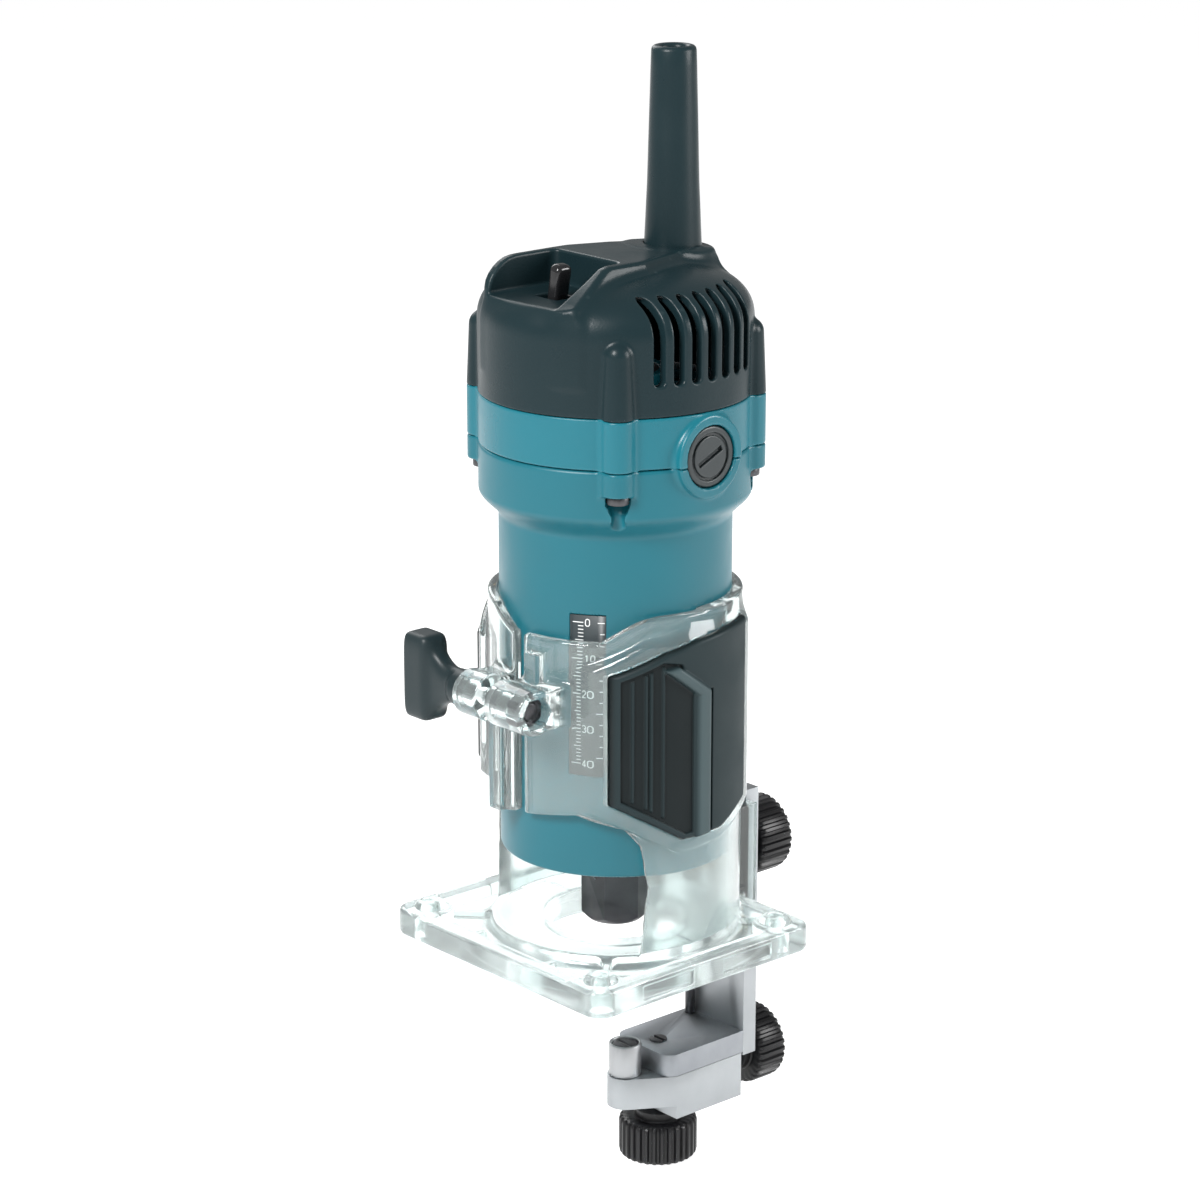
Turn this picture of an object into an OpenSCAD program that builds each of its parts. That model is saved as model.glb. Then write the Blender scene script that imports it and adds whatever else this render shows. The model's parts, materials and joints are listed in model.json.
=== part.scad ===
// Trim router: a barrel motor clamped in a clear base, with a roller guide behind it.
// Origin on the spindle axis in the plane of the base's underside.
// +X right, -Y front where the clamp is, +Y rear where the guide is, +Z up.

/* [Base plate] */
// Width of the base plate
base_w = 90; // [80:1:110]
// Spindle axis to the plate's front edge
base_front = 46; // [40:1:60]
// Spindle axis to the plate's rear edge
base_rear = 36; // [34:1:39]
// Thickness of the plate at its rim
plate_t = 8; // [6:0.5:10]
// Thickness of the sunken panels
panel_t = 4.5; // [3:0.5:5.5]
// Corner radius of the plate
plate_r = 5.5; // [3:0.5:9]
// Width of the raised rim
rim_w = 6; // [4:0.5:7]
// Diameter of the opening for the bit
bit_opening_d = 40; // [30:1:46]
// Corner screws to the plate's edges
screw_inset = 8; // [7:0.5:11]
// Diameter of the corner screw holes
screw_hole_d = 4.3; // [3.2:0.1:5.2]

/* [Collar] */
// Running gap between the barrel and the collar
collar_gap = 0.08; // [0.05:0.01:0.1]
// Wall of the clear collar
collar_wall = 3.1; // [2.5:0.1:4]
// Height of the collar's front edge
collar_top = 98.5; // [90:0.5:100]
// Height of the crown over the grips
crown_top = 105.5; // [101:0.5:110]
// Height of the top of the front window
window_top = 46; // [38:0.5:52]
// Wall that stands outside the collar to hold the grips
seat_wall = 2.6; // [2:0.1:4]
// Thickness of the rubber grips
grip_t = 3.1; // [2:0.1:4]
// Height of the clamp screw
clamp_z = 80.5; // [70:0.5:88]
// Diameter of the clamp, bracket and lock screws
stud_d = 5; // [4:0.5:6]

/* [Motor] */
// Diameter of the barrel
barrel_d = 65; // [60:0.5:80]
// Wall of the barrel
barrel_wall = 3; // [2.4:0.1:3.6]
// Height of the barrel's lower end at rest
barrel_z = 29.9; // [26:0.1:34]
// Length of the plain barrel
barrel_len = 97.1; // [92:0.1:118]
// Diameter of the motor head
head_d = 76; // [72:0.5:92]
// Height of the housing's head below the parting line
head_h = 20.3; // [17:0.1:25]
// Height of the teal ring above the parting line
ring_h = 14.2; // [12:0.1:18]
// Height of the cover's upright side
cover_h = 19.5; // [16:0.1:24]
// Height of the cover's rounded shoulder
dome_h = 15; // [13:0.5:18]
// Height of the switch fence above the dome
spine_h = 4; // [2:0.5:6]
// Wall of the head shells
head_wall = 2.8; // [2:0.1:3.4]
// Number of air slots on each side
slots = 7; // [4:1:8]
// Diameter of the cord guard at the housing
guard_d = 16; // [13:0.5:18]
// Diameter of the cord guard at its end
guard_end_d = 12.3; // [10:0.1:13]
// Length of the cord guard above the housing
guard_len = 55; // [30:1:70]

/* [Spindle] */
// Width across the flats of the collet nut
nut_af = 17; // [16:0.5:19]
// Diameter of the bit shank
shank_d = 6.35; // [6:0.01:6.5]
// Diameter of the spindle nose
nose_d = 12; // [11.5:0.5:13]
// Length of the field core
core_len = 40; // [30:1:45]

/* [Guide] */
// Width of the guide
guide_w = 24; // [20:1:28]
// Thickness of the bracket
bracket_t = 5; // [3:0.5:6]
// Height of the bracket's upper end
bracket_top = 38; // [30:1:44]
// Depth of the bracket's lower end below the base
bracket_drop = 45; // [38:1:52]
// Thickness of the foot block
foot_t = 6.8; // [5:0.1:9]
// Thickness of the carriage
carriage_t = 13.4; // [12:0.1:16]
// Distance from the spindle axis to the roller axis
roller_y = 4; // [2:0.5:6]
// Diameter of the roller
roller_d = 9.5; // [8:0.5:11]
// Height of the roller
roller_h = 9.8; // [7:0.1:12]
// Diameter of the knurled knobs
knob_d = 23; // [18:0.5:26]
// Height of the knurled knobs
knob_h = 12; // [9:0.5:14]
// Ribs round each knob
knob_ribs = 30; // [20:1:40]

/* [Hidden] */
$fn = 72;

eps = 0.01;
far = 300;
seat_gap = 0.05;
run_gap = 0.05;
clear_gap = 0.3;

// Base plate
hole_dx = base_w / 2 - screw_inset;
hole_front = base_front - screw_inset;
hole_rear = base_rear - screw_inset;

// Collar
barrel_r = barrel_d / 2;
bore_r = barrel_r + collar_gap;
collar_r = bore_r + collar_wall;
seat_r = collar_r + seat_wall;
grip_in_r = collar_r + 0.6;
grip_out_r = grip_in_r + grip_t;
stud_r = stud_d / 2;
hole_r = stud_r + run_gap;
clamp_y = -(collar_r + 7.6);
ear_gap = 4;
ear_left = 12;
ear_right = 17;
ear_r = 6.6;
hex_af = stud_d * 1.6;
hex_t = stud_d * 0.8;
hex_gap = 0.1;
// Outline of a grip as (y, z), seen along X
grip_outline = [
    [-0.74 * collar_r, 53], [-0.74 * collar_r, 90], [-0.38 * collar_r, 96],
    [-0.1 * collar_r, 98.6], [0.47 * collar_r, 100.7], [0.47 * collar_r, 48.5],
    [0.14 * collar_r, 42.6], [-0.24 * collar_r, 41.8]
];
// Raised arrow on a grip, seen along X
arrow_outer = [[-14.4, 91.3], [-11.5, 91.3], [-1.9, 84.6], [-1.9, 42.2], [-4.6, 41.7], [-4.6, 83.2]];
rib_lines = [-22.5, -18.5, -14.5];

// Bracket
bracket_y = max(base_rear + 4, collar_r + 4.3);
bracket_back = bracket_y + bracket_t;
bracket_screw_z = 18;
guide_up = 20;
guide_down = 10;
boss_half = guide_w / 2 + 3;

// Guide
foot_bottom = -bracket_drop + 1;
foot_top = foot_bottom + foot_t;
foot_front = roller_y + roller_d / 2 + 1.6;
foot_r = 4;
carriage_top = foot_bottom - clear_gap / 3;
carriage_bottom = carriage_top - carriage_t;
carriage_front = foot_front + 3.2;
carriage_back = bracket_y - 0.7;
carriage_travel = 12;
nose_bottom = carriage_top - 9.4;
nose_r = roller_d / 2 + 0.5;
adjust_z = carriage_top - 4.1;
lock_y = carriage_front + 3.5;
lug_bottom = adjust_z - 7;
knob_r = knob_d / 2;
knob_neck = 3;
pin_r = 2;
pin_seat = foot_t / 2 - 1.7;

// Motor heights
z0 = barrel_z;
zs = z0 + barrel_len;
zp = zs + head_h;
zr = zp + ring_h;
zd = zr + cover_h;
zt = zd + dome_h;
zf = zt + spine_h;
inner_r = barrel_r - barrel_wall;
head_r = head_d / 2;
head_in = head_r - head_wall;
ear_c = head_r - 1.1;
ear_angle = 49.4;
column_r = 4.6;
screw_r = 1.75;
screw_hole = screw_r + 0.1;
screw_head_r = 3.1;
// the depth scale covers these angles from the front and these heights
scale_a0 = 26;
scale_a1 = 44;
scale_z0 = zs - 67;
scale_z1 = zs - 21.5;
ear_drop = 6.7;

// Brushes
brush_z = zp + 1.9;
brush_boss_r = 11.35;
brush_face = head_r + 0.9;
cap_r = 8.5;
cap_t = 1.8;
cap_stem_r = 6;
cap_stem = 7;
cap_x = head_r - 1.3;
slot_turn = 25;
holder_r = 7.6;
comm_r = 11;
brush_w = 5;
brush_h = 8;
brush_tip = comm_r + 0.35;
brush_back = brush_tip + 12;

// Spindle and field
nose_r2 = nose_d / 2;
nose_z = z0 - 17;
bearing_z = z0 + 3.6;
bearing_t = 8;
bearing_r = 14;
shaft_r = 4;
shaft_top_r = 3.45;
fan_z = bearing_z + bearing_t + 4.4;
fan_h = 9.5;
fan_r = inner_r - 2.4;
core_z = fan_z + fan_h + 10.5;
core_top = core_z + core_len;
coil_end = 5.4;
core_r = inner_r - 0.2;
armature_r = 16;
pole_r = armature_r + 0.6;
coil_in = armature_r + 1.7;
coil_out = coil_in + 5.2;
upper_z = zr - 1.6;
upper_t = 6;
upper_r = 9.5;
boot_r = 12;

// Switch
floor_z = zt - 5.9;
ceiling_z = floor_z - 2.6;
fence_x = 13.5;
fence_t = 3;
slot_front = -15;
slot_w = 3;
slot_step = 32 / (slots - 1);
slot_depth_x = head_r - 18;
fence_back = -10;
switch_y = -22;
switch_half = [10.5, 9];
pivot_z = ceiling_z - 4.9;
lever_lean = 10;
lever_w = 4;
lever_d = 5.3;
slot_x = 4.7;
slot_y = 3.3;

// Cord guard
guard_y = 21;
guard_r = guard_d / 2;
guard_z = zt + 2.6;
guard_bore = 3.6;
boss_r = 11.6;
flange_r = 10.4;

// Collet nut
nut_z = z0 - 23.3;
nut_h = 19.4;

// ---------- shared shapes ----------

module tube(r_out, r_in, h) {
    difference() {
        cylinder(r = r_out, h = h);
        translate([0, 0, -eps]) cylinder(r = r_in, h = h + 2 * eps);
    }
}

// A cylinder along X or Y that starts at the given place
module x_rod(x, y, z, r, len) translate([x, y, z]) rotate([0, 90, 0]) cylinder(r = r, h = len);
module y_rod(x, y, z, r, len) translate([x, y, z]) rotate([-90, 0, 0]) cylinder(r = r, h = len);

// Hexagonal prism by its width across flats
module hex(af, h) cylinder(r = af / 2 / cos(30), h = h, $fn = 6);

// Box from its low corner to its high corner
module span(a, b) translate(a) cube(b - a);

module both_sides() {
    children();
    mirror([1, 0, 0]) children();
}

module at_columns() for (sx = [-1, 1]) for (sy = [-1, 1])
    translate([sx * ear_c * sin(ear_angle), sy * ear_c * cos(ear_angle), 0]) children();

// A (y, z) outline carried along X
module along_x(x0, x1) translate([x0, 0, 0]) rotate([90, 0, 90]) linear_extrude(x1 - x0) children();

// An (x, z) outline carried along Y
module along_y(y0, y1) translate([0, y1, 0]) rotate([90, 0, 0]) linear_extrude(y1 - y0) children();

module rounded_plate(w, y0, y1, r, h) linear_extrude(h)
    hull() for (x = [-w / 2 + r, w / 2 - r]) for (y = [y0 + r, y1 - r]) translate([x, y]) circle(r, $fn = 32);

// A knurled knob that stands on z = 0 and points up
module knurled_knob(len) {
    step = 360 / knob_ribs;
    cylinder(r = knob_r - 4.5, h = knob_neck + eps);
    translate([0, 0, knob_neck]) linear_extrude(len) polygon([
        for (i = [0 : knob_ribs - 1]) for (s = [0 : 3])
            let (r = knob_r - (s == 1 || s == 2 ? 0 : 0.8), a = step * (i + [0.05, 0.25, 0.7, 0.9][s]))
            [r * cos(a), r * sin(a)]
    ]);
}

// ---------- base ----------

module plate_blank() {
    difference() {
        rounded_plate(base_w, -base_front, base_rear, plate_r, plate_t);
        difference() {
            translate([0, 0, panel_t])
                rounded_plate(base_w - 2 * rim_w, -base_front + rim_w, base_rear - rim_w, 2, plate_t);
            cylinder(r = bit_opening_d / 2 + 3, h = plate_t);
            for (sx = [-1, 1]) for (y = [-hole_front, hole_rear])
                translate([sx * hole_dx, y, 0]) cylinder(r = 6.5, h = plate_t);
            for (a = [45, 135, 225, 315]) rotate(a) span([0, -0.9, 0], [far, 0.9, plate_t - 1.4]);
            for (x = [-15, 15]) span([x - 1, -base_front, 0], [x + 1, -collar_r, plate_t - 1.4]);
        }
    }
    for (sx = [-1, 1]) for (y = [-hole_front, hole_rear])
        translate([sx * hole_dx, y, 0]) cylinder(r1 = 5.6, r2 = 3.6, h = plate_t + 2);
}

// Window that shows the bit, seen along Y
module front_window() along_y(-far, -eps) polygon([
    [-0.93 * bore_r, plate_t], [0.93 * bore_r, plate_t], [0.96 * bore_r, window_top - 18],
    [0.93 * bore_r, window_top - 6], [0.86 * bore_r, window_top - 1], [0.55 * bore_r, window_top + 2.6],
    [0, window_top], [-0.55 * bore_r, window_top - 2], [-0.86 * bore_r, window_top - 4],
    [-0.95 * bore_r, window_top - 9]
]);

// What is cut from the collar's upper edge at the front, seen along Y
module collar_top_cut() along_y(-far, -eps) polygon([
    [-3, collar_top], [0.7 * bore_r, collar_top], [0.94 * bore_r, crown_top], [far, crown_top],
    [far, far], [-far, far], [-far, crown_top], [-0.65 * bore_r, crown_top], [-0.4 * bore_r, crown_top - 1.6]
]);

// Thicker wall round the grips, with a sloping crown
module grip_seat() both_sides() intersection() {
    union() {
        cylinder(r = seat_r, h = crown_top - 7.5);
        translate([0, 0, crown_top - 7.5 - eps]) cylinder(r1 = seat_r, r2 = bore_r + 2, h = 7.5 + eps);
    }
    along_x(0, far) polygon([
        [-0.82 * collar_r, 51], [-0.82 * collar_r, 91], [-0.45 * collar_r, crown_top - 6],
        [-0.3 * collar_r, crown_top + 1], [0.6 * collar_r, crown_top + 1], [0.6 * collar_r, 46.5],
        [0.16 * collar_r, 39.4], [-0.26 * collar_r, 38.6]
    ]);
}

module grip_pocket() both_sides() difference() {
    along_x(0, far) offset(delta = 0.15) polygon(grip_outline);
    cylinder(r = grip_in_r - seat_gap, h = far);
}

module clamp_ears() {
    for (s = [[-ear_left, -ear_gap / 2], [ear_gap / 2, ear_right]]) {
        x_rod(s[0], clamp_y, clamp_z, ear_r, s[1] - s[0]);
        span([s[0], clamp_y, clamp_z - ear_r + 0.8], [s[1], -bore_r + 2.5, clamp_z + ear_r - 0.8]);
    }
    // stiffening ribs below and above the ears
    span([-ear_left + 3, clamp_y + 4.2, window_top], [-ear_gap / 2 - 2, -bore_r + 1, clamp_z]);
    span([ear_gap / 2 + 3, clamp_y + 5.2, clamp_z], [ear_gap / 2 + 8, -bore_r + 1, collar_top - 4]);
}

module bracket_boss() {
    span([-boss_half, bore_r - 3, panel_t], [boss_half, bracket_y, bracket_screw_z + 17]);
    both_sides() span([guide_w / 2 + clear_gap, bore_r - 3, panel_t], [boss_half, bracket_y + 2, bracket_screw_z + 17]);
}

module clear_base() color([0.86, 0.92, 0.92, 0.45]) difference() {
    union() {
        plate_blank();
        cylinder(r = collar_r, h = crown_top);
        grip_seat();
        clamp_ears();
        bracket_boss();
    }
    translate([0, 0, plate_t]) cylinder(r = bore_r, h = far);
    translate([0, 0, -eps]) cylinder(r = bit_opening_d / 2, h = plate_t + 1);
    front_window();
    collar_top_cut();
    span([-ear_gap / 2, -far, window_top - 20], [ear_gap / 2, -eps, far]);
    grip_pocket();
    x_rod(-far, clamp_y, clamp_z, hole_r, 2 * far);
    translate([ear_right - hex_t - 3, clamp_y, clamp_z]) rotate([0, 90, 0]) hex(hex_af + 2 * hex_gap, far);
    y_rod(0, 0, bracket_screw_z, hole_r, far);
    y_rod(0, 0, bracket_screw_z, hex_af / 2 / cos(30) + hex_gap, bore_r + hex_t + 0.6, $fn = 6);
    for (sx = [-1, 1]) for (y = [-hole_front, hole_rear])
        translate([sx * hole_dx, y, -eps]) cylinder(d = screw_hole_d, h = far);
}

module grip_pad() {
    intersection() {
        translate([0, 0, 1]) tube(grip_out_r, grip_in_r, far);
        along_x(0, far) polygon(grip_outline);
    }
    intersection() {
        translate([0, 0, 1]) tube(grip_out_r + 1.7, grip_in_r + 1, far);
        along_x(0, far) polygon(arrow_outer);
    }
    intersection() {
        translate([0, 0, 1]) tube(grip_out_r + 0.7, grip_in_r + 1, far);
        along_x(0, far) for (y = rib_lines) translate([y, 53]) square([1.2, 32]);
    }
}

module grip_pad_right() color([0.22, 0.26, 0.27]) grip_pad();

module grip_pad_left() color([0.22, 0.26, 0.27]) mirror([1, 0, 0]) grip_pad();

module clamp_nut() color([0.75, 0.75, 0.72]) difference() {
    translate([ear_right - hex_t - 3 + seat_gap, clamp_y, clamp_z]) rotate([0, 90, 0]) hex(hex_af, hex_t);
    x_rod(0, clamp_y, clamp_z, hole_r, far);
}

module bracket_nut() color([0.78, 0.66, 0.36]) difference() {
    y_rod(0, bore_r + 0.5, bracket_screw_z, hex_af / 2 / cos(30), hex_t, $fn = 6);
    y_rod(0, 0, bracket_screw_z, hole_r, far);
}

// ---------- clamp wing ----------

module wing_outline() {
    hull() for (z = [-9.5, 9.5]) for (x = [-33, -29]) translate([x, z]) circle(3, $fn = 32);
    hull() {
        for (z = [-9, 9]) translate([-28, z]) circle(2.5, $fn = 32);
        for (z = [-2.6, 2.6]) translate([-17, z]) circle(2.4, $fn = 32);
    }
}

module wing_grip() color([0.2, 0.22, 0.23]) difference() {
    translate([0, clamp_y, clamp_z]) {
        along_y(-3.6, 3.6) wing_outline();
        intersection() {
            along_y(-4.8, 4.8) wing_outline();
            span([-36.1, -9, -13], [-27, 9, 13]);
        }
        x_rod(-24, 0, 0, 5.2, 24 - ear_left - clear_gap);
    }
    x_rod(-25, clamp_y, clamp_z, stud_r + seat_gap, far);
}

module wing_stud() color([0.72, 0.73, 0.74]) x_rod(-24.9, clamp_y, clamp_z, stud_r, 24.9 + ear_right - 2.5);

// ---------- bracket knob ----------

module bracket_knob() color([0.08, 0.08, 0.09]) difference() {
    translate([0, bracket_back + clear_gap, bracket_screw_z]) rotate([-90, 0, 0]) knurled_knob(knob_h);
    y_rod(0, 0, bracket_screw_z, stud_r + seat_gap, bracket_back + knob_neck + knob_h - 3);
}

module bracket_stud() color([0.72, 0.73, 0.74])
    y_rod(0, bore_r + 0.9, bracket_screw_z, stud_r, bracket_back + knob_neck + knob_h - 3.1 - bore_r - 0.9);

// ---------- guide ----------

module guide_bracket() color([0.75, 0.77, 0.79]) difference() {
    union() {
        span([-guide_w / 2, bracket_y, -bracket_drop], [guide_w / 2, bracket_back, bracket_top]);
        span([-6, bracket_y, lug_bottom], [6, bracket_back, -bracket_drop + eps]);
    }
    along_y(0, far) hull() for (z = [-guide_up - 0.5, guide_down + 0.5])
        translate([0, bracket_screw_z + z]) circle(stud_r + 0.3, $fn = 32);
    y_rod(0, 0, adjust_z, stud_r + run_gap, far);
    for (x = [-7.5, 7.5]) y_rod(x, 0, foot_bottom + foot_t / 2, 1.6, far);
}

module guide_foot() color([0.55, 0.57, 0.6]) difference() {
    translate([0, 0, foot_bottom]) linear_extrude(foot_t) hull() {
        for (sx = [-1, 1]) translate([sx * (guide_w / 2 - foot_r), foot_front + foot_r]) circle(foot_r, $fn = 32);
        translate([-guide_w / 2, bracket_y - 1]) square([guide_w, 1 - eps]);
    }
    translate([0, lock_y, foot_bottom - eps]) cylinder(r = hole_r, h = foot_t + 1);
    for (x = [-7.5, 7.5]) y_rod(x, bracket_y - 8, foot_bottom + foot_t / 2, 1.6, 8 + eps);
    translate([-9, bracket_y - 2, foot_top - pin_seat]) cylinder(r = 1.5 + seat_gap, h = far);
}

module guide_pin() color([0.4, 0.42, 0.44])
    translate([-9, bracket_y - 2, foot_top - pin_seat + seat_gap]) cylinder(r = 1.5, h = 14);

module foot_screws() color([0.7, 0.71, 0.72]) for (x = [-7.5, 7.5]) {
    y_rod(x, bracket_y - 7.8, foot_bottom + foot_t / 2, 1.5, bracket_t + 7.8 + 0.02);
    y_rod(x, bracket_back + 0.02, foot_bottom + foot_t / 2, 2.8, 1.6);
}

module adjust_knob() color([0.08, 0.08, 0.09]) difference() {
    translate([0, bracket_back + clear_gap, adjust_z]) rotate([-90, 0, 0]) knurled_knob(knob_h - 1.5);
    y_rod(0, 0, adjust_z, stud_r + seat_gap, bracket_back + knob_neck + knob_h - 4.5);
}

module adjust_screw() color([0.72, 0.73, 0.74])
    y_rod(0, lock_y + stud_r + 1.5, adjust_z, stud_r, bracket_back + knob_neck + knob_h - 4.6 - lock_y - stud_r - 1.5);

module guide_carriage() color([0.74, 0.77, 0.79]) difference() {
    union() {
        span([-guide_w / 2, carriage_front, carriage_bottom], [guide_w / 2, carriage_back, carriage_top]);
        translate([0, 0, nose_bottom]) linear_extrude(carriage_top - nose_bottom) hull() {
            translate([0, roller_y]) circle(nose_r, $fn = 32);
            translate([-guide_w / 2, carriage_front]) square([guide_w, 1]);
        }
    }
    translate([0, 0, carriage_bottom - 1]) linear_extrude(carriage_t + 2)
        hull() for (y = [0, carriage_travel]) translate([0, lock_y + y]) circle(stud_r + 0.3, $fn = 32);
    y_rod(0, lock_y, adjust_z, hole_r, far);
    translate([0, roller_y, nose_bottom - 1]) cylinder(r = pin_r + seat_gap, h = far);
}

module roller_screw() color([0.35, 0.36, 0.38]) difference() {
    translate([0, roller_y, 0]) {
        translate([0, 0, nose_bottom + 0.5]) cylinder(r = pin_r, h = carriage_top + roller_h - 1.2 - nose_bottom - 0.5);
        translate([0, 0, carriage_top + roller_h - 1.2]) cylinder(r = roller_d / 2 - 1.2, h = 0.9);
    }
    span([-5, roller_y - 0.5, carriage_top + roller_h - 0.8], [5, roller_y + 0.5, carriage_top + roller_h]);
}

module guide_roller() color([0.78, 0.8, 0.82]) translate([0, roller_y, carriage_top + 0.1]) difference() {
    cylinder(d = roller_d, h = roller_h);
    translate([0, 0, -eps]) cylinder(r = pin_r + run_gap, h = far);
    translate([0, 0, roller_h - 1.5]) cylinder(r = roller_d / 2 - 0.8, h = far);
}

module lock_knob() color([0.08, 0.08, 0.09]) difference() {
    translate([0, lock_y, carriage_bottom - clear_gap]) rotate([180, 0, 0]) knurled_knob(knob_h);
    translate([0, lock_y, carriage_bottom - knob_neck - knob_h + 3]) cylinder(r = stud_r + seat_gap, h = far);
}

module lock_screw() color([0.3, 0.31, 0.33]) difference() {
    translate([0, lock_y, carriage_bottom - knob_neck - knob_h + 3.1])
        cylinder(r = stud_r, h = foot_top + 0.6 - carriage_bottom + knob_neck + knob_h - 3.1);
    span([-5, lock_y - 0.5, foot_top - 0.4], [5, lock_y + 0.5, foot_top + 2]);
}

// ---------- motor shells ----------

// Opening and sunken seat for the brush caps
module brush_cuts() both_sides() {
    x_rod(inner_r - 4, 0, brush_z, holder_r + seat_gap, far);
    x_rod(cap_x - seat_gap, 0, brush_z, cap_r + 0.2, far);
}

module brush_boss(z_low, z_high) both_sides() intersection() {
    x_rod(head_in + 0.5, 0, brush_z, brush_boss_r, brush_face - head_in - 0.5);
    span([0, -far, z_low], [far, far, z_high]);
}

module barrel_housing() color([0.26, 0.55, 0.62]) difference() {
    union() {
        rotate_extrude() polygon([
            [11.5, z0], [barrel_r - 2, z0], [barrel_r, z0 + 2], [barrel_r, zs],
            [barrel_r + 0.6 * (head_r - barrel_r), zs + 3.7], [head_r, zs + 7], [head_r, zp],
            [head_in, zp], [head_in, zs + 9], [inner_r, zs + 1], [inner_r, z0 + 3],
            [bearing_r + 3, z0 + 3], [bearing_r + 3, bearing_z + bearing_t + 0.4],
            [bearing_r + seat_gap, bearing_z + bearing_t + 0.4], [bearing_r + seat_gap, bearing_z - 0.1],
            [11.5, bearing_z - 0.1]
        ]);
        at_columns() translate([0, 0, zp - ear_drop]) cylinder(r = column_r, h = ear_drop);
        // thicker wall inside, behind the screw heads
        intersection() {
            at_columns() translate([0, 0, zs + 0.5]) cylinder(r = column_r + 0.6, h = zp - zs - 0.5);
            translate([0, 0, zs]) cylinder(r1 = barrel_r - 1, r2 = head_r - 0.5, h = 7);
        }
        intersection() {
            at_columns() translate([0, 0, zs + 6]) cylinder(r = column_r + 0.6, h = zp - zs - 6);
            cylinder(r = head_r - 0.5, h = far);
        }
        brush_boss(zp - far, zp);
    }
    // pockets for the screw heads, open downwards
    at_columns() translate([0, 0, zs - 1]) cylinder(r = screw_head_r + 0.15, h = zp - ear_drop - zs + 1);
    // air outlets in the lower end
    for (a = [0 : 45 : 315]) rotate(a) span([bearing_r + 4.5, -3, z0 - 1], [inner_r - 2.5, 3, z0 + 4]);
    at_columns() translate([0, 0, zp - ear_drop - 1]) cylinder(r = screw_hole, h = far);
    brush_cuts();
    scale_recess();
}

module scale_recess() rotate([0, 0, -90 + scale_a0]) rotate_extrude(angle = scale_a1 - scale_a0)
    translate([barrel_r - 0.6, scale_z0 - 0.1]) square([2, scale_z1 - scale_z0 + 0.2]);

module scale_plate() color([0.2, 0.22, 0.24]) rotate([0, 0, -90 + scale_a0 + 0.1])
    rotate_extrude(angle = scale_a1 - scale_a0 - 0.2)
    translate([barrel_r - 0.6 + seat_gap, scale_z0]) square([0.45, scale_z1 - scale_z0]);

module housing_ring() color([0.3, 0.6, 0.68]) difference() {
    union() {
        translate([0, 0, zp]) tube(head_r, head_in, ring_h);
        at_columns() translate([0, 0, zp]) cylinder(r = column_r, h = ring_h);
        brush_boss(zp, zr);
        translate([0, 0, upper_z - 1]) cylinder(r = head_in + eps, h = 2.5);
        translate([0, 0, upper_z - 1]) cylinder(r = boot_r + 2.5, h = upper_t + 2.6);
    }
    translate([0, 0, upper_z]) cylinder(r = boot_r + seat_gap, h = far);
    translate([0, 0, zp]) cylinder(r = 7, h = far);
    for (a = [30 : 60 : 330]) rotate(a) translate([24, 0, zp]) cylinder(r = 6.5, h = far);
    at_columns() translate([0, 0, zp - 1]) cylinder(r = screw_hole, h = far);
    brush_cuts();
}

// Dome outline as (r, z), drawn in by a wall
function dome(wall) = [
    [head_r - wall, zd], [head_r - 0.8 - wall, zd + 5 - wall / 3], [head_r - 3.4 - wall, zd + 9 - wall * 0.6],
    [head_r - 8.2 - wall, zd + 13 - wall * 0.8], [head_r - 14 - wall, zt - wall], [0, zt + 1.5 - wall]
];

// Switch fence and spine as (y, z): an upright round front on the left, a sloping cheek on the right
spine_back = [[-9, zf], [8, zf - 0.6], [33, zt + 1], [35, zt - 6], [35, zr + 8], [-head_r + 4, zr + 8]];
fence_arch = [for (t = [0 : 15 : 90]) [-head_r + 16 - 12 * cos(t), floor_z - 0.5 + (zf - floor_z + 0.5) * sin(t)]];
cheek_slope = [[-head_r + 4, floor_z], [-head_r + 6.5, floor_z + 0.5], [-18.5, zf - 0.9], [-16.5, zf], [-14, zf]];

module recess_space(grow) span([-fence_x - grow, -far, floor_z - grow], [fence_x + grow, fence_back + grow, far]);

module top_cover() color([0.24, 0.28, 0.3]) difference() {
    union() {
        rotate_extrude() polygon(concat([[0, zr], [head_r, zr]], dome(0)));
        intersection() {
            union() {
                along_x(-fence_x - fence_t, 0) polygon(concat(fence_arch, spine_back));
                along_x(-eps, fence_x + fence_t) polygon(concat(cheek_slope, spine_back));
            }
            cylinder(r = head_r - 0.3, h = far);
        }
        translate([0, guard_y, zd]) cylinder(r = boss_r, h = guard_z - 0.6 - zd);
        at_columns() {
            translate([0, 0, zr]) cylinder(r = column_r, h = zd - 2.6 - zr);
            translate([0, 0, zd - 2.6]) sphere(column_r);
        }
    }
    // hollow under the dome, kept clear of the switch recess and the guard's seat
    difference() {
        translate([0, 0, -eps]) rotate_extrude() polygon(concat([[0, zr], [head_in, zr]], dome(head_wall)));
        span([-fence_x - fence_t, -far, ceiling_z], [fence_x + fence_t, fence_back + 3, far]);
        translate([0, guard_y, ceiling_z]) cylinder(r = boss_r + 1, h = far);
    }
    recess_space(0);
    span([-slot_x, switch_y - slot_y, ceiling_z - 1], [slot_x, switch_y + slot_y, far]);
    translate([0, guard_y, 0]) {
        translate([0, 0, ceiling_z - 1]) cylinder(r = guard_r + 0.1, h = far);
        translate([0, 0, ceiling_z - 1]) cylinder(r = flange_r + 0.2, h = 5);
    }
    both_sides() for (i = [0 : slots - 1]) translate([0, slot_front + i * slot_step, 0])
        span([slot_depth_x, -slot_w / 2, zr + 8.5], [far, slot_w / 2, zd + 12]);
    at_columns() translate([0, 0, zr - 1]) cylinder(r = screw_hole, h = 14);
}

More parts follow.
